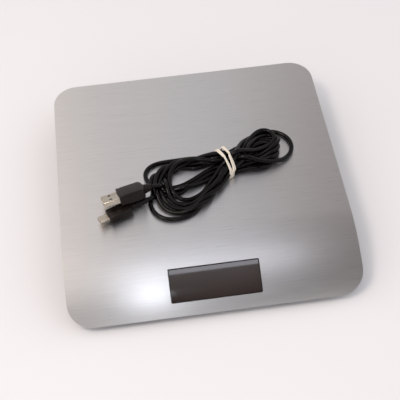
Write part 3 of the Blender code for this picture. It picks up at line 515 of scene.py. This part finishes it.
def flat_cut(name, half, back, front, corner, hole=None):
    """A flat sheet laid out in rows of faces, narrow where it will be rolled. y is minus the
    run from the plate's back edge. A hole is half its width, its back and its front."""
    rounding = [corner * (1 - math.cos(math.radians(9 * k))) for k in range(11)]  # in 9° steps
    runs = {back + d for d in rounding} | {front - d for d in rounding}
    bend = max(back, FLAT_LEN)
    strips = round((front - bend) / STRIP)
    runs |= {bend + (front - bend) * k / strips for k in range(strips + 1)}
    columns = [c * MM for c in range(-5 * COLUMN, 5 * COLUMN + 1, COLUMN)
               if abs(c * MM) < half - corner]
    if hole:
        runs |= set(hole[1:])
        columns += [-hole[0], hole[0]]
    runs = sorted(runs)
    keep = [runs[0]]
    for run in runs[1:]:  # rows that nearly meet become one, on the hole's or the sheet's edge
        if run - keep[-1] > 0.15 * MM:
            keep.append(run)
        elif hole and run in hole or run == front:
            keep[-1] = run
    bm = bmesh.new()
    rows = []
    for run in keep:
        end = half_width(run, half, back, front, corner)
        rows.append([bm.verts.new((x, -run, 0)) for x in sorted([-end, *columns, end])])
    for above, below in zip(rows, rows[1:]):
        for i in range(len(above) - 1):
            x = (above[i].co.x + above[i + 1].co.x) / 2
            run = -(above[i].co.y + below[i].co.y) / 2
            if hole and abs(x) < hole[0] and hole[1] < run < hole[2]:
                continue
            bm.faces.new((above[i + 1], above[i], below[i], below[i + 1]))
    bmesh.ops.delete(bm, geom=[v for v in bm.verts if not v.link_faces], context="VERTS")
    if hole:
        corners = [v for v in bm.verts if abs(abs(v.co.x) - hole[0]) < 1e-6
                   and min(abs(v.co.y + hole[1]), abs(v.co.y + hole[2])) < 1e-6]
        bmesh.ops.bevel(bm, geom=corners, offset=0.8 * MM, segments=3, affect="VERTICES",
                        profile=0.5)
    layout = bm.loops.layers.uv.new("sheet_layout")
    for face in bm.faces:
        for loop in face.loops:  # U runs down the sheet, and V across it, in metres
            loop[layout].uv = (-loop.vert.co.y, loop.vert.co.x)
    sheet = empty_mesh(name)
    bm.to_mesh(sheet.data)
    bm.free()
    return sheet


# %% The tree that rolls a flat sheet round the front
def rolling_tree():
    """Bends a flat sheet down over the front. Its run becomes an angle past the flat length."""
    tree, given = new_tree("roll_the_sheet", **{"Flat length": "Float", "Roll radius": "Float",
                                                "Below the surface": "Float",
                                                "Finish": "Material"})
    out = given.outputs

    def calc(operation, *values):
        return add_node(tree, "ShaderNodeMath", dict(enumerate(values)),
                        operation=operation).outputs[0]

    place = add_node(tree, "ShaderNodeSeparateXYZ",
                     {0: add_node(tree, "GeometryNodeInputPosition").outputs[0]}).outputs
    run = calc("MULTIPLY", place["Y"], -1.0)
    straight = calc("MINIMUM", run, out["Flat length"])
    angle = calc("DIVIDE", calc("SUBTRACT", run, straight), out["Roll radius"])
    radius = calc("SUBTRACT", out["Roll radius"], out["Below the surface"])
    forward = calc("ADD", straight, calc("MULTIPLY", radius, calc("SINE", angle)))
    y = calc("SUBTRACT", REAR_Y, forward)
    rise = calc("SUBTRACT", calc("MULTIPLY", radius, calc("COSINE", angle)), out["Roll radius"])
    z = calc("ADD", rise, PLATE_TOP * MM)
    rolled = add_node(tree, "ShaderNodeCombineXYZ", {"X": place["X"], "Y": y, "Z": z})
    moved = add_node(tree, "GeometryNodeSetPosition", {"Geometry": out["Geometry"],
                                                       "Position": rolled.outputs[0]})
    close_tree(tree, moved.outputs[0], out["Finish"])
    return tree


roll_sheet = rolling_tree()

# %% [markdown]
# ## Brushed stainless steel
# A belt brushes the sheet from side to side, which leaves scratches a few hundredths of a
# millimetre wide and centimetres long. They spread a lamp's reflection at right angles to
# themselves, so a highlight becomes a bright band that runs down the sheet. The Anisotropic
# setting with a tangent that runs down the sheet gives that band. The scratches are drawn
# about five times coarser than real, or they couldn't be seen at all.

# %% Brushed steel
def brushed_steel_finish():
    """Fine and broad scratches across the sheet, in its tone, its gloss and its surface."""
    material, tree, shader = new_finish("brushed_stainless_steel", {
        "Metallic": 1.0, "Anisotropic": 0.92})
    layout = add_node(tree, "ShaderNodeUVMap", uv_map="sheet_layout").outputs[0]
    tangent = add_node(tree, "ShaderNodeTangent", direction_type="UV_MAP",
                       uv_map="sheet_layout").outputs[0]
    tree.links.new(tangent, shader.inputs["Tangent"])

    def strokes(width_mm, length_mm, detail):
        """Noise drawn out across the sheet, in strokes of that width and length."""
        stretched = add_node(tree, "ShaderNodeMapping", {
            "Vector": layout, "Scale": (per_mm(width_mm), per_mm(length_mm), 1)})
        return add_node(tree, "ShaderNodeTexNoise", {"Vector": stretched.outputs[0], "Scale": 1.0,
                                                     "Detail": detail}).outputs["Fac"]

    fine = strokes(0.2, 22, 3.0)
    broad = strokes(1.3, 90, 2.0)
    mixed = add_node(tree, "ShaderNodeMix", {0: 0.22, 2: fine, 3: broad}, data_type="FLOAT")
    tone = ramp(tree, mixed.outputs[0], [(0.3, "#c4c2c2"), (0.5, "#cccac9"), (0.7, "#d3d1d0")])
    tree.links.new(tone, shader.inputs["Base Color"])
    gloss = add_node(tree, "ShaderNodeMapRange", {"Value": mixed.outputs[0], 1: 0.3, 2: 0.7,
                                                  3: 0.27, 4: 0.33})
    tree.links.new(gloss.outputs[0], shader.inputs["Roughness"])
    bump = add_node(tree, "ShaderNodeBump", {"Height": fine, "Strength": 0.25,
                                             "Distance": 0.02 * MM})
    tree.links.new(bump.outputs[0], shader.inputs["Normal"])
    return material


brushed_steel = brushed_steel_finish()

# %% Cut, roll and thicken the plate
def rolled_sheet(cut, name, finish, below, thickness, edge):
    """A flat cut rolled at a depth below the plate's face, thickened, with its edges softened."""
    sheet = run_tree(cut, roll_sheet, name, **{
        "Flat length": FLAT_LEN, "Roll radius": ROLL_R, "Below the surface": below,
        "Finish": finish})
    wall = sheet.modifiers.new("thickness", "SOLIDIFY")
    wall.thickness, wall.offset = thickness, -1
    soft_edge = sheet.modifiers.new("soft_edge", "BEVEL")
    soft_edge.width, soft_edge.segments, soft_edge.limit_method = edge, 2, "ANGLE"
    soft_edge.angle_limit = math.radians(50)
    # A small angle keeps the soft edges' shading off the face next to them.
    return counted(smooth(plain_mesh(sheet, name), 20))


flat_plate = flat_cut("plate_cut", PLATE_W / 2, 0, SHEET_LEN, CORNER_R,
                      hole=(WINDOW_HALF, WINDOW_BACK, WINDOW_FRONT))
plate = rolled_sheet(flat_plate, "brushed_plate", brushed_steel, 0.0, 1 * MM, 0.3 * MM)
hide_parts("platform_plate")
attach(plate, "platform")

# %% [markdown]
# ## The display window
# A strip of dark tinted acrylic closes the hole. It is moulded to the curve of the roll and
# polished, and it sits about a millimetre below the steel.

# %% Tinted window
# Dark and polished: it mirrors the room in a grey gradient over a brown-black depth.
tinted_lens = moulded("polished_tinted_acrylic", {"IOR": 1.49, "Specular IOR Level": 0.6,
                                                  "Coat Weight": 0.3, "Coat Roughness": 0.05},
                      ("#261c19", "#2d221e"), 30, (0.06, 0.10), 12, 6, 0.004)
CLEAR = 0.53 * MM  # the window's clearance in its hole, along the sheet
flat_lens = flat_cut("lens_cut", 32 * MM, WINDOW_BACK + CLEAR, WINDOW_FRONT - CLEAR, 0.6 * MM)
lens = rolled_sheet(flat_lens, "display_window", tinted_lens, 0.9 * MM, 1.8 * MM, 0.25 * MM)
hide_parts("display_lens")
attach(lens, "base")

# %% [markdown]
# ## The plugs
# A USB plug is a folded steel shell in an overmoulded grip, which ends in a ribbed sleeve that
# keeps the lead from kinking. The grips are lofted: rings of points, rounded rectangles that
# turn into circles towards the lead, joined ring to ring. The ribs repeat along the sleeve, so
# Geometry Nodes place them.

# %% Where the plugs lie
def lying_along(mouth, tail, roll):
    """The place of a plug whose own +X runs from its mouth to its tail, rolled about that."""
    x = (tail - mouth).normalized()
    y = Vector((0, 0, 1)).cross(x).normalized()
    turn = Matrix((x, y, x.cross(y))).transposed() @ Matrix.Rotation(roll, 3, "X")
    return Matrix.Translation(mouth) @ turn.to_4x4()


USB_A_MOUTH, USB_A_TAIL = (Vector(p) * MM for p in ((-72.6, -22.4, 39.8), (-36.2, -13.6, 40.4)))
MINI_MOUTH, MINI_TAIL = (Vector(p) * MM for p in ((-76.3, -35.0, 35.3), (-39.6, -20.4, 34.6)))
usb_a_place = lying_along(USB_A_MOUTH, USB_A_TAIL, math.radians(-27))
mini_place = lying_along(MINI_MOUTH, MINI_TAIL, math.radians(-14))


# %% Rings, lofts and hollow shells
def ring(x, half_w, half_h, radius):
    """A rounded rectangle across a plug, in mm, at x along it."""
    radius = min(radius, half_w, half_h) - 1e-4
    outline = rounded_outline((-half_w, -half_h), (half_w, half_h), radius, 5)
    return [(x, y, z) for y, z in outline]


def loft(name, rings, place, finish, closed=False):
    """Joins rings of points into one skin with closed ends. A closed loft has no ends: its last
    ring is joined to its first."""
    bm = bmesh.new()
    rows = [[bm.verts.new(Vector(p) * MM) for p in row] for row in rings]
    count = len(rows[0])
    for k in range(len(rows) if closed else len(rows) - 1):
        one, two = rows[k], rows[(k + 1) % len(rows)]
        for i in range(count):
            j = (i + 1) % count
            bm.faces.new((one[i], one[j], two[j], two[i]))
    if not closed:
        bm.faces.new(rows[0][::-1])
        bm.faces.new(rows[-1])
    bmesh.ops.recalc_face_normals(bm, faces=bm.faces)
    mesh = bpy.data.meshes.new(name)
    bm.to_mesh(mesh)
    bm.free()
    mesh.transform(place)
    obj = bpy.data.objects.new(name, mesh)
    bpy.context.scene.collection.objects.link(obj)
    mesh.materials.append(finish)
    return obj


def shell(name, length, half_w, half_h, wall, radius, place, finish):
    """A folded sheet-metal shell: an open tube of rounded rectangles with a wall."""
    inner = (half_w - wall, half_h - wall, max(radius - wall, 0.1))
    rings = [ring(0.12, half_w - 0.08, half_h - 0.08, radius), ring(0.3, half_w, half_h, radius),
             ring(length, half_w, half_h, radius), ring(length, *inner), ring(0.3, *inner),
             ring(0.12, inner[0] + 0.06, inner[1] + 0.06, inner[2])]
    return loft(name, rings, place, finish, closed=True)


def punch(obj, name, boxes, place):
    """Cuts boxes, each a middle and a size in mm, out of an object."""
    for middle, size in boxes:
        bm = bmesh.new()
        bmesh.ops.create_cube(bm, size=1, matrix=place @ Matrix.LocRotScale(
            Vector(middle) * MM, None, Vector(size) * MM))
        mesh = bpy.data.meshes.new("punch")
        bm.to_mesh(mesh)
        bm.free()
        tool = bpy.data.objects.new("punch", mesh)
        bpy.context.scene.collection.objects.link(tool)
        cutter = obj.modifiers.new("hole", "BOOLEAN")
        cutter.object, cutter.operation, cutter.solver = tool, "DIFFERENCE", "EXACT"
        obj = plain_mesh(obj, name)
        bpy.data.objects.remove(tool)
    return obj


# %% [markdown]
# The shells are deep-drawn steel with a nickel plate. It is a warm, bright metal, with faint
# drawing marks and fingerprints that dull it here and there.

# %% Nickel plate and the plug shells
# Warm and bright: the shells stand out from the cool steel of the plate.
nickel = moulded("bright_nickel_plate", {"Metallic": 1.0}, ("#a89f92", "#b8b0a4"), 9,
                 (0.2, 0.3), 4, 1.2, 0.003)
usb_a_shell = shell("usb_a_plug_shell", 12.0, 6.0, 2.25, 0.35, 0.7, usb_a_place, nickel)
usb_a_shell = punch(usb_a_shell, "usb_a_plug_shell",
                    [((6.2, y, 0), (2.0, 2.4, 20)) for y in (-2.9, 2.9)], usb_a_place)
mini_shell = shell("mini_plug_shell_skin", 7.2, 3.5, 1.55, 0.35, 0.55, mini_place, nickel)
for piece, node in ((usb_a_shell, "usb_a_shell"), (mini_shell, "mini_plug_shell")):
    smooth(piece, 40)
    counted(piece)
    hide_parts(node)
    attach(piece, "usb_lead")

# %% Grips
usb_a_rings = [
    ring(12.15, 6.9, 3.1, 0.8), ring(12.25, 7.35, 3.6, 0.9), ring(12.9, 7.8, 4.0, 1.15),
    ring(14.2, 7.8, 4.0, 1.15), ring(14.5, 7.6, 3.8, 1.1), ring(15.3, 7.6, 3.8, 1.1),
    ring(15.6, 7.8, 4.0, 1.15), ring(28.9, 7.8, 4.0, 1.15), ring(30.4, 7.1, 3.7, 1.3),
    ring(31.2, 5.4, 3.6, 2.2), ring(31.7, 3.5, 3.5, 3.5), ring(37.3, 2.2, 2.2, 2.2),
    ring(37.45, 1.75, 1.75, 1.75),
]
mini_rings = [
    ring(7.35, 4.8, 2.6, 0.7), ring(7.5, 5.2, 3.0, 0.9), ring(8.1, 5.6, 3.4, 1.2),
    ring(14, 5.6, 3.4, 1.2), ring(23.2, 5.6, 3.4, 1.2), ring(24.8, 4.6, 3.2, 1.6),
    ring(25.6, 3.4, 3.0, 2.4), ring(26.0, 2.7, 2.7, 2.7), ring(39.1, 2.0, 2.0, 2.0),
    ring(39.25, 1.72, 1.72, 1.72),
]
usb_a_grip = loft("usb_a_plug_grip", usb_a_rings, usb_a_place, grip_pvc)
mini_grip = loft("mini_plug_grip", mini_rings, mini_place, grip_pvc)
for piece, node in ((usb_a_grip, "usb_a_body"), (mini_grip, "mini_plug_body")):
    smooth(piece, 38)
    counted(piece)
    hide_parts(node)
    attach(piece, "usb_lead")


# %% The tree that sets ribs along a sleeve
def rib_tree():
    """Hoops in a row, each smaller than the last by the taper."""
    tree, given = new_tree("ribs_along_a_sleeve", **{
        "Count": "Int", "First": "Float", "Pitch": "Float", "Radius": "Float", "Taper": "Float",
        "Thickness": "Float", "Finish": "Material"})
    out = given.outputs
    step = add_node(tree, "ShaderNodeCombineXYZ", {"X": out["Pitch"]})
    start = add_node(tree, "ShaderNodeCombineXYZ", {"X": out["First"]})
    line = add_node(tree, "GeometryNodeMeshLine", {
        "Count": out["Count"], "Start Location": start.outputs[0], "Offset": step.outputs[0]})
    circle = add_node(tree, "GeometryNodeCurvePrimitiveCircle", {"Resolution": 24,
                                                                 "Radius": out["Radius"]})
    bar = add_node(tree, "GeometryNodeCurvePrimitiveCircle", {"Resolution": 8,
                                                              "Radius": out["Thickness"]})
    hoop = add_node(tree, "GeometryNodeCurveToMesh", {"Curve": circle.outputs[0],
                                                      "Profile Curve": bar.outputs[0]})
    number = add_node(tree, "GeometryNodeInputIndex").outputs[0]
    shrink = add_node(tree, "ShaderNodeMath", {0: number, 1: out["Taper"], 2: 1.0},
                      operation="MULTIPLY_ADD")
    ribs = add_node(tree, "GeometryNodeInstanceOnPoints", {
        "Points": line.outputs[0], "Instance": hoop.outputs[0],
        "Rotation": (0, math.radians(90), 0), "Scale": shrink.outputs[0]})
    close_tree(tree, ribs.outputs[0], out["Finish"])
    return tree


ribs = rib_tree()


def ribs_on(name, place, count, first, pitch, radius, taper, thickness):
    """Ribs on a plug's sleeve, in mm, from the first one's place along the plug."""
    made = run_tree(empty_mesh(name), ribs, name, **{
        "Count": count, "First": first * MM, "Pitch": pitch * MM, "Radius": radius * MM,
        "Taper": taper, "Thickness": thickness * MM, "Finish": grip_pvc})
    made.data.transform(place)
    smooth(made, 60)
    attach(made, "usb_lead")
    return counted(made)


mini_ribs = ribs_on("mini_sleeve_ribs", mini_place, 5, 27.4, 2.4, 2.62, -0.045, 0.45)
usb_a_ribs = ribs_on("usb_a_sleeve_ribs", usb_a_place, 3, 32.9, 1.7, 3.2, -0.12, 0.4)

# %% [markdown]
# The small plug's grip has an oval thumb rest with a raised rim on its top, and short ridges
# in front of it. Both are moulded with the grip.

# %% Thumb rest and ridges
def raised_oval(name, x, half_long, half_wide, top, place):
    """A raised oval rim, in mm, on the top of a grip."""
    rows = []
    for k in range(48):
        turn = 2 * math.pi * k / 48
        out = Vector((math.cos(turn) / half_long, math.sin(turn) / half_wide, 0)).normalized()
        middle = Vector((x + half_long * math.cos(turn), half_wide * math.sin(turn), top))
        rows.append([middle + out * 0.34 * math.cos(a) + Vector((0, 0, 0.3 * math.sin(a)))
                     for a in (2 * math.pi * i / 8 for i in range(8))])
    return loft(name, rows, place, grip_pvc, closed=True)


thumb_rest = raised_oval("mini_thumb_rest", 18.6, 3.9, 2.9, 3.4, mini_place)
ridges = [loft(f"mini_grip_ridge_{k + 1}", [ring(9.2, 0.1, 0.1, 0.05), ring(9.6, 0.3, 0.34, 0.2),
                                            ring(13.0, 0.3, 0.34, 0.2), ring(13.4, 0.1, 0.1, 0.05)],
               mini_place @ Matrix.Translation((0, (k - 1.5) * 1.9 * MM, 3.4 * MM)), grip_pvc)
          for k in range(4)]
for piece in (thumb_rest, *ridges):
    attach(smooth(piece, 60), "usb_lead")

# %% Contact tongue in the small plug
mini_tongue = loft("mini_plug_tongue", [ring(1.2, 2.5, 0.45, 0.1), ring(7.0, 2.5, 0.45, 0.1)],
                   mini_place, grip_pvc)
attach(smooth(mini_tongue), "usb_lead")

# %% [markdown]
# ## The rubber band
# An off-white rubber band is wound round the waist a few times. Each turn is a flat strip that
# hugs the bundle: its path is found by asking how far the bundle reaches in every direction,
# as a tight band does. The turns cross over the top and lie side by side below.

# %% Turns of the band
off = lead_line - np.r_[WAIST, 0]
bundle = np.array([[v, z] for u, v, z in zip(off[:, :2] @ ALONG, off[:, :2] @ ACROSS, off[:, 2])
                   if abs(u) < 4.0])
BAND_W, BAND_T = 1.5, 0.9  # the strip's width and thickness, in mm
TURN_STEPS = 96  # rings round one turn


def hug(clearance):
    """The path round the bundle, as (across, height) points and outward directions."""
    angles = np.arange(TURN_STEPS) / TURN_STEPS * 2 * math.pi
    ways = np.column_stack([np.cos(angles), np.sin(angles)])
    reach = (bundle @ ways.T).max(0) + CORD_D / 2 + clearance
    for _ in range(4):  # a stretched band bridges the small hollows
        reach = (np.roll(reach, 1) + 2 * reach + np.roll(reach, -1)) / 4
    slope = (np.roll(reach, -1) - np.roll(reach, 1)) / (2 * (angles[1] - angles[0]))
    side = np.column_stack([-ways[:, 1], ways[:, 0]])
    path = reach[:, None] * ways + slope[:, None] * side
    path[:, 1] = np.maximum(path[:, 1], BAND_T / 2 + 0.03)
    return angles, path, ways


def band_turn(name, far, near, bow, clearance):
    """One turn of the band. far and near give how far along the waist it lies at the bundle's
    two sides, and bow how far it bulges along the waist on top."""
    angles, path, ways = hug(clearance)
    rows = []
    for angle, (v, z), (nv, nz) in zip(angles, path, ways):
        share = (1 - math.cos(angle)) / 2  # 0 at the far side, 1 at the near side
        u = far * (1 - share) + near * share + bow * max(math.sin(angle), 0)
        row = []
        for k in range(10):
            turn = 2 * math.pi * k / 10
            out = math.sin(turn) * BAND_T / 2
            row.append((u + math.cos(turn) * BAND_W / 2, v + nv * out, z + nz * out))
        rows.append(row)
    place = (Matrix.Translation((WAIST[0] * MM, WAIST[1] * MM, PLATE_TOP * MM))
             @ Matrix.Rotation(WAIST_TURN, 4, "Z"))
    return loft(name, rows, place, white_rubber, closed=True)


# Dull and a little translucent, so that its shaded side stays warm and never goes grey.
white_rubber = moulded("off_white_rubber", {"IOR": 1.52, "Subsurface Weight": 0.15,
                                            "Subsurface Radius": (0.001, 0.0008, 0.0006)},
                       ("#d6cdbe", "#e4dccf"), 7, (0.5, 0.65), 3, 0.35, 0.05)
for number, (far, near, bow, clearance) in enumerate((
        (-5.4, -2.4, 0.2, 0.45), (-4.0, -4.4, 0.9, 0.95), (-1.4, -1.6, 2.6, 0.6),
        (0.4, -3.3, 2.4, 1.1))):
    turn = band_turn(f"rubber_band_turn_{number + 1}", far, near, bow, clearance)
    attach(counted(smooth(turn, 60)), "usb_lead")
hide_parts("cord_tie")

# %% What the lead is, and what is on it
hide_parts("cord_hank", "usb_a_cord_end", "mini_cord_end")
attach(lead, "usb_lead")

# %% [markdown]
# ## Finishes of the CAD parts
# The base, feet, keys, screws and inner parts keep their CAD shape. Each gets the finish of its
# real material: matt black ABS with the fine grain of an etched mould, bright screws, soft
# rubber feet, and so on.

# %% Finishes by material
finishes = {
    "brushed_steel": brushed_steel,
    "tinted_lens": tinted_lens,
    "cord_pvc": grip_pvc,
    "white_rubber": white_rubber,
    "plated_steel": nickel,
    # Matt and nearly black: the base recedes under the bright plate.
    "black_abs": moulded("etched_black_abs", {"IOR": 1.53}, ("#171618", "#1f1e20"), 22,
                         (0.42, 0.56), 9, 0.7, 0.03),
    # Satin mid grey, so that the keys can be found on the black side.
    "grey_abs": moulded("satin_grey_abs", {"IOR": 1.53}, ("#86868a", "#929295"), 16,
                        (0.34, 0.46), 6, 0.7, 0.02),
    # The grey-green of a display that is off, with the gloss of its glass.
    "lcd_glass": moulded("lcd_behind_glass", {"IOR": 1.52, "Coat Weight": 0.6},
                         ("#8b9186", "#989d92"), 20, (0.08, 0.14), 9, 3, 0.004),
    # Green lacquer, semi-gloss over the board's weave.
    "circuit_board": moulded("green_solder_mask", {"IOR": 1.55}, ("#1d5a34", "#24683d"), 6,
                             (0.3, 0.45), 3, 1.0, 0.02),
    # Pale and softly shiny, as a milled bar is.
    "aluminium": moulded("milled_aluminium", {"Metallic": 1.0}, ("#c8cacd", "#d6d8da"), 9,
                         (0.28, 0.42), 4, 0.6, 0.01),
    # Dull black without a highlight, for the feet.
    "rubber": moulded("soft_black_rubber", {"IOR": 1.52}, ("#1a1a1a", "#232322"), 5,
                      (0.62, 0.8), 3, 0.6, 0.04),
    # Plain warm white, slightly shiny, for the display's frame.
    "white_plastic": moulded("white_abs", {"IOR": 1.53}, ("#dcdbd5", "#e6e5e0"), 12,
                             (0.4, 0.52), 6, 0.7, 0.02),
    # A glossy dark blue film, drawn tight round the cells.
    "cell_wrap": moulded("printed_shrink_film", {"IOR": 1.5}, ("#3a4a6e", "#42537a"), 18,
                         (0.2, 0.3), 7, 1.5, 0.01),
    # Open foam, with no gloss at all.
    "foam_tape": moulded("white_foam_tape", {"IOR": 1.45}, ("#d8d6cf", "#e2e0da"), 4,
                         (0.8, 0.95), 2, 0.5, 0.12),
}
for node in nodes.values():
    slot = node.material_slots[0]
    slot.material = finishes[slot.material.name.split(".")[0]]
print("finishes given to", len(nodes), "CAD nodes")

# %% [markdown]
# ## Floor and light
# The scale stands on a plain pale floor under soft studio light. A broad lamp at the left gives
# the plate its light side and a soft shadow at the right. A small lamp over the camera makes the
# bright spot on the roll, which the brushing draws out down the sheet.

# %% Floor
floor_mesh = bpy.data.meshes.new("studio_floor")
floor_mesh.from_pydata([(-3, -3, 0), (3, -3, 0), (3, 3, 0), (-3, 3, 0)], [], [(0, 1, 2, 3)])
floor = bpy.data.objects.new("studio_floor", floor_mesh)
bpy.context.scene.collection.objects.link(floor)
# Matt and almost white: it takes the soft shadow, and shows nothing of itself.
floor_paint = moulded("matt_white_board", {"IOR": 1.45}, ("#e4e3e5", "#e6e5e7"), 400,
                      (0.85, 0.95), 90, 4, 0.02)
floor_mesh.materials.append(floor_paint)


# %% Lamps
def lamp(name, place, aim, size, power, colour):
    """A flat lamp in metres and watts, turned towards the point that it aims at."""
    light = bpy.data.lights.new(name, "AREA")
    light.shape, light.size, light.size_y = "RECTANGLE", size[0], size[1]
    light.energy, light.color = power, linear(colour)[:3]
    obj = bpy.data.objects.new(name, light)
    obj.location = place
    obj.rotation_euler = (Vector(aim) - Vector(place)).to_track_quat("-Z", "Y").to_euler()
    bpy.context.scene.collection.objects.link(obj)


lamp("broad_lamp_left", (-0.50, -0.16, 1.0), (0, 0, 0), (0.36, 0.25), 3.6, "#fff0e4")
lamp("lamp_over_camera", (-0.050, -0.72, 0.88), (-0.04, -0.09, 0), (0.03, 0.12), 0.46, "#eef5ff")
lamp("overhead_strip", (0.06, -0.30, 1.0), (0.05, -0.07, 0), (0.36, 0.14), 0.5, "#eef2ff")

# %% Even light from all round, as from pale walls, with darker gaps at the right and in front
world = bpy.data.worlds.new("soft_studio")
bpy.context.scene.world = world
world.use_nodes = True
sky = world.node_tree
sky.nodes.clear()
direction = add_node(sky, "ShaderNodeTexCoord").outputs["Generated"]
toward = add_node(sky, "ShaderNodeSeparateXYZ", {0: direction}).outputs
sideways = add_node(sky, "ShaderNodeMapRange", {"Value": toward["X"], 1: -0.5, 2: 0.5})
walls = ramp(sky, sideways.outputs[0], [
    (0.0, "#eae6e4"), (0.37, "#fff4ec"), (0.45, "#c3c1c2"), (0.6, "#b9bbc1"), (0.67, "#918c8b"),
    (0.77, "#635956"), (0.88, "#c0c1c6"), (1.0, "#dfe1e6")])
depthwise = add_node(sky, "ShaderNodeMapRange", {"Value": toward["Y"], 1: -1.0, 2: 1.0})
front = ramp(sky, depthwise.outputs[0], [
    (0.0, "#b4b4b4"), (0.12, "#6e6e6e"), (0.22, "#cccccc"), (0.32, "#ffffff"), (1.0, "#ffffff")])
lit = add_node(sky, "ShaderNodeMix", {0: 1.0, 6: walls, 7: front}, data_type="RGBA",
               blend_type="MULTIPLY")
behind = add_node(sky, "ShaderNodeMapRange", {"Value": toward["Y"], 1: 0.62, 2: 0.70})
room = add_node(sky, "ShaderNodeMix", {0: behind.outputs[0], 6: lit.outputs[2],
                                       7: linear("#cdc9c7")}, data_type="RGBA")
above = add_node(sky, "ShaderNodeMapRange", {"Value": toward["Z"], 1: 0.35, 2: 0.55})
room = add_node(sky, "ShaderNodeMix", {0: above.outputs[0], 6: linear("#d2d0d0"),
                                       7: room.outputs[2]}, data_type="RGBA")
background = add_node(sky, "ShaderNodeBackground", {"Color": room.outputs[2], "Strength": 1.4})
add_node(sky, "ShaderNodeOutputWorld", {"Surface": background.outputs[0]})
bpy.context.scene.view_settings.view_transform = "Standard"
